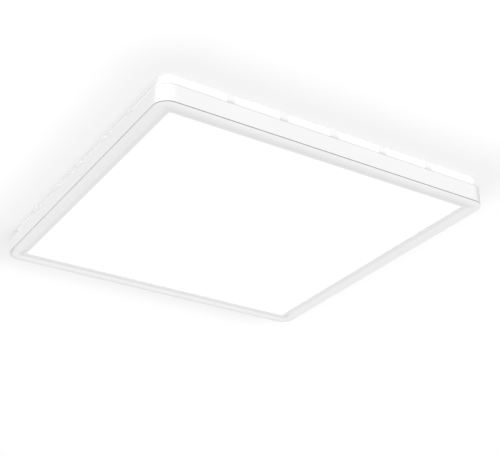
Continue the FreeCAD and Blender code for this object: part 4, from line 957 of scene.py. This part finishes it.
class CEILING_LIGHT_OT_screws(bpy.types.Operator):
    """Models the cross-head screws of the top cover, of the ears and of the cable clamp"""
    bl_idname = "ceiling_light.screws"
    bl_label = "Screws"

    def execute(self, context):
        steel = zinc_steel("zinc_plated_cross_head_screws")
        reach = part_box("top_cover_screws")[1].x - TOP_COVER_SCREW[0] * MM
        places = []
        for quarter in range(4):
            turn = Matrix.Rotation(quarter * pi / 2, 3, "Z")
            places += [(turn @ Vector((reach, step * MM, 0)))[:2] for step in TOP_COVER_STEPS]
        self.group("top_cover_screws", TOP_COVER_SCREW, places, steel)
        self.group("ear_screws", EAR_SCREW, [(x * MM, y * MM) for x, y in EARS], steel)
        low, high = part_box("cable_clamp_screws")
        head_r = CLAMP_SCREW[0] * MM
        places = [(x, (low.y + high.y) / 2) for x in (low.x + head_r, high.x - head_r)]
        self.group("cable_clamp_screws", CLAMP_SCREW, places, steel)
        return {"FINISHED"}

    def group(self, node, screw, places, steel):
        """Sets a screw at each place (x, y), from the top to the bottom of the node's box."""
        low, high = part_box(node)
        head_r, head_h, shank_r = (size * MM for size in screw)
        under_head = high.z - head_h
        screws = cross_head_screws(node + "_cross_head", head_r, head_h, shank_r,
                                   under_head - low.z, [(x, y, under_head) for x, y in places])
        settle(screws, steel, "lamp", "screw_steel", node)


class CEILING_LIGHT_PT_parts(bpy.types.Panel):
    """Lists the steps that build the ceiling light"""
    bl_idname = "CEILING_LIGHT_PT_parts"
    bl_label = "Ceiling light"
    bl_space_type = "VIEW_3D"
    bl_region_type = "UI"
    bl_category = "Ceiling light"

    def draw(self, context):
        for group in (context.scene.ceiling_light_colours, context.scene.ceiling_light_sizes,
                      context.scene.ceiling_light_levels):
            for name in group.__annotations__:
                self.layout.prop(group, name)
        for step in STEPS:
            self.layout.operator(step.bl_idname)


STEPS = (CEILING_LIGHT_OT_stage, CEILING_LIGHT_OT_housing, CEILING_LIGHT_OT_lit_faces,
         CEILING_LIGHT_OT_optics, CEILING_LIGHT_OT_fixings, CEILING_LIGHT_OT_driver,
         CEILING_LIGHT_OT_terminals, CEILING_LIGHT_OT_leads, CEILING_LIGHT_OT_bush,
         CEILING_LIGHT_OT_leaves, CEILING_LIGHT_OT_screws)
GROUPS = (CeilingLightColours, CeilingLightSizes, CeilingLightLevels)


def register():
    """Registers the classes and hangs the settings on the scene."""
    for item in GROUPS + STEPS + (CEILING_LIGHT_PT_parts,):
        bpy.utils.register_class(item)
    bpy.types.Scene.ceiling_light_colours = bpy.props.PointerProperty(type=CeilingLightColours)
    bpy.types.Scene.ceiling_light_sizes = bpy.props.PointerProperty(type=CeilingLightSizes)
    bpy.types.Scene.ceiling_light_levels = bpy.props.PointerProperty(type=CeilingLightLevels)


def unregister():
    """Takes the settings and the classes away again."""
    del bpy.types.Scene.ceiling_light_levels
    del bpy.types.Scene.ceiling_light_sizes
    del bpy.types.Scene.ceiling_light_colours
    for item in reversed(GROUPS + STEPS + (CEILING_LIGHT_PT_parts,)):
        bpy.utils.unregister_class(item)


def main():
    """Registers the add-on and builds everything in order."""
    register()
    bpy.ops.ceiling_light.stage()
    bpy.ops.ceiling_light.housing()
    bpy.ops.ceiling_light.lit_faces()
    bpy.ops.ceiling_light.optics()
    bpy.ops.ceiling_light.fixings()
    bpy.ops.ceiling_light.driver()
    bpy.ops.ceiling_light.terminals()
    bpy.ops.ceiling_light.leads()
    bpy.ops.ceiling_light.bush()
    bpy.ops.ceiling_light.leaves()
    bpy.ops.ceiling_light.screws()
    deselect()


if __name__ == "__main__":
    main()
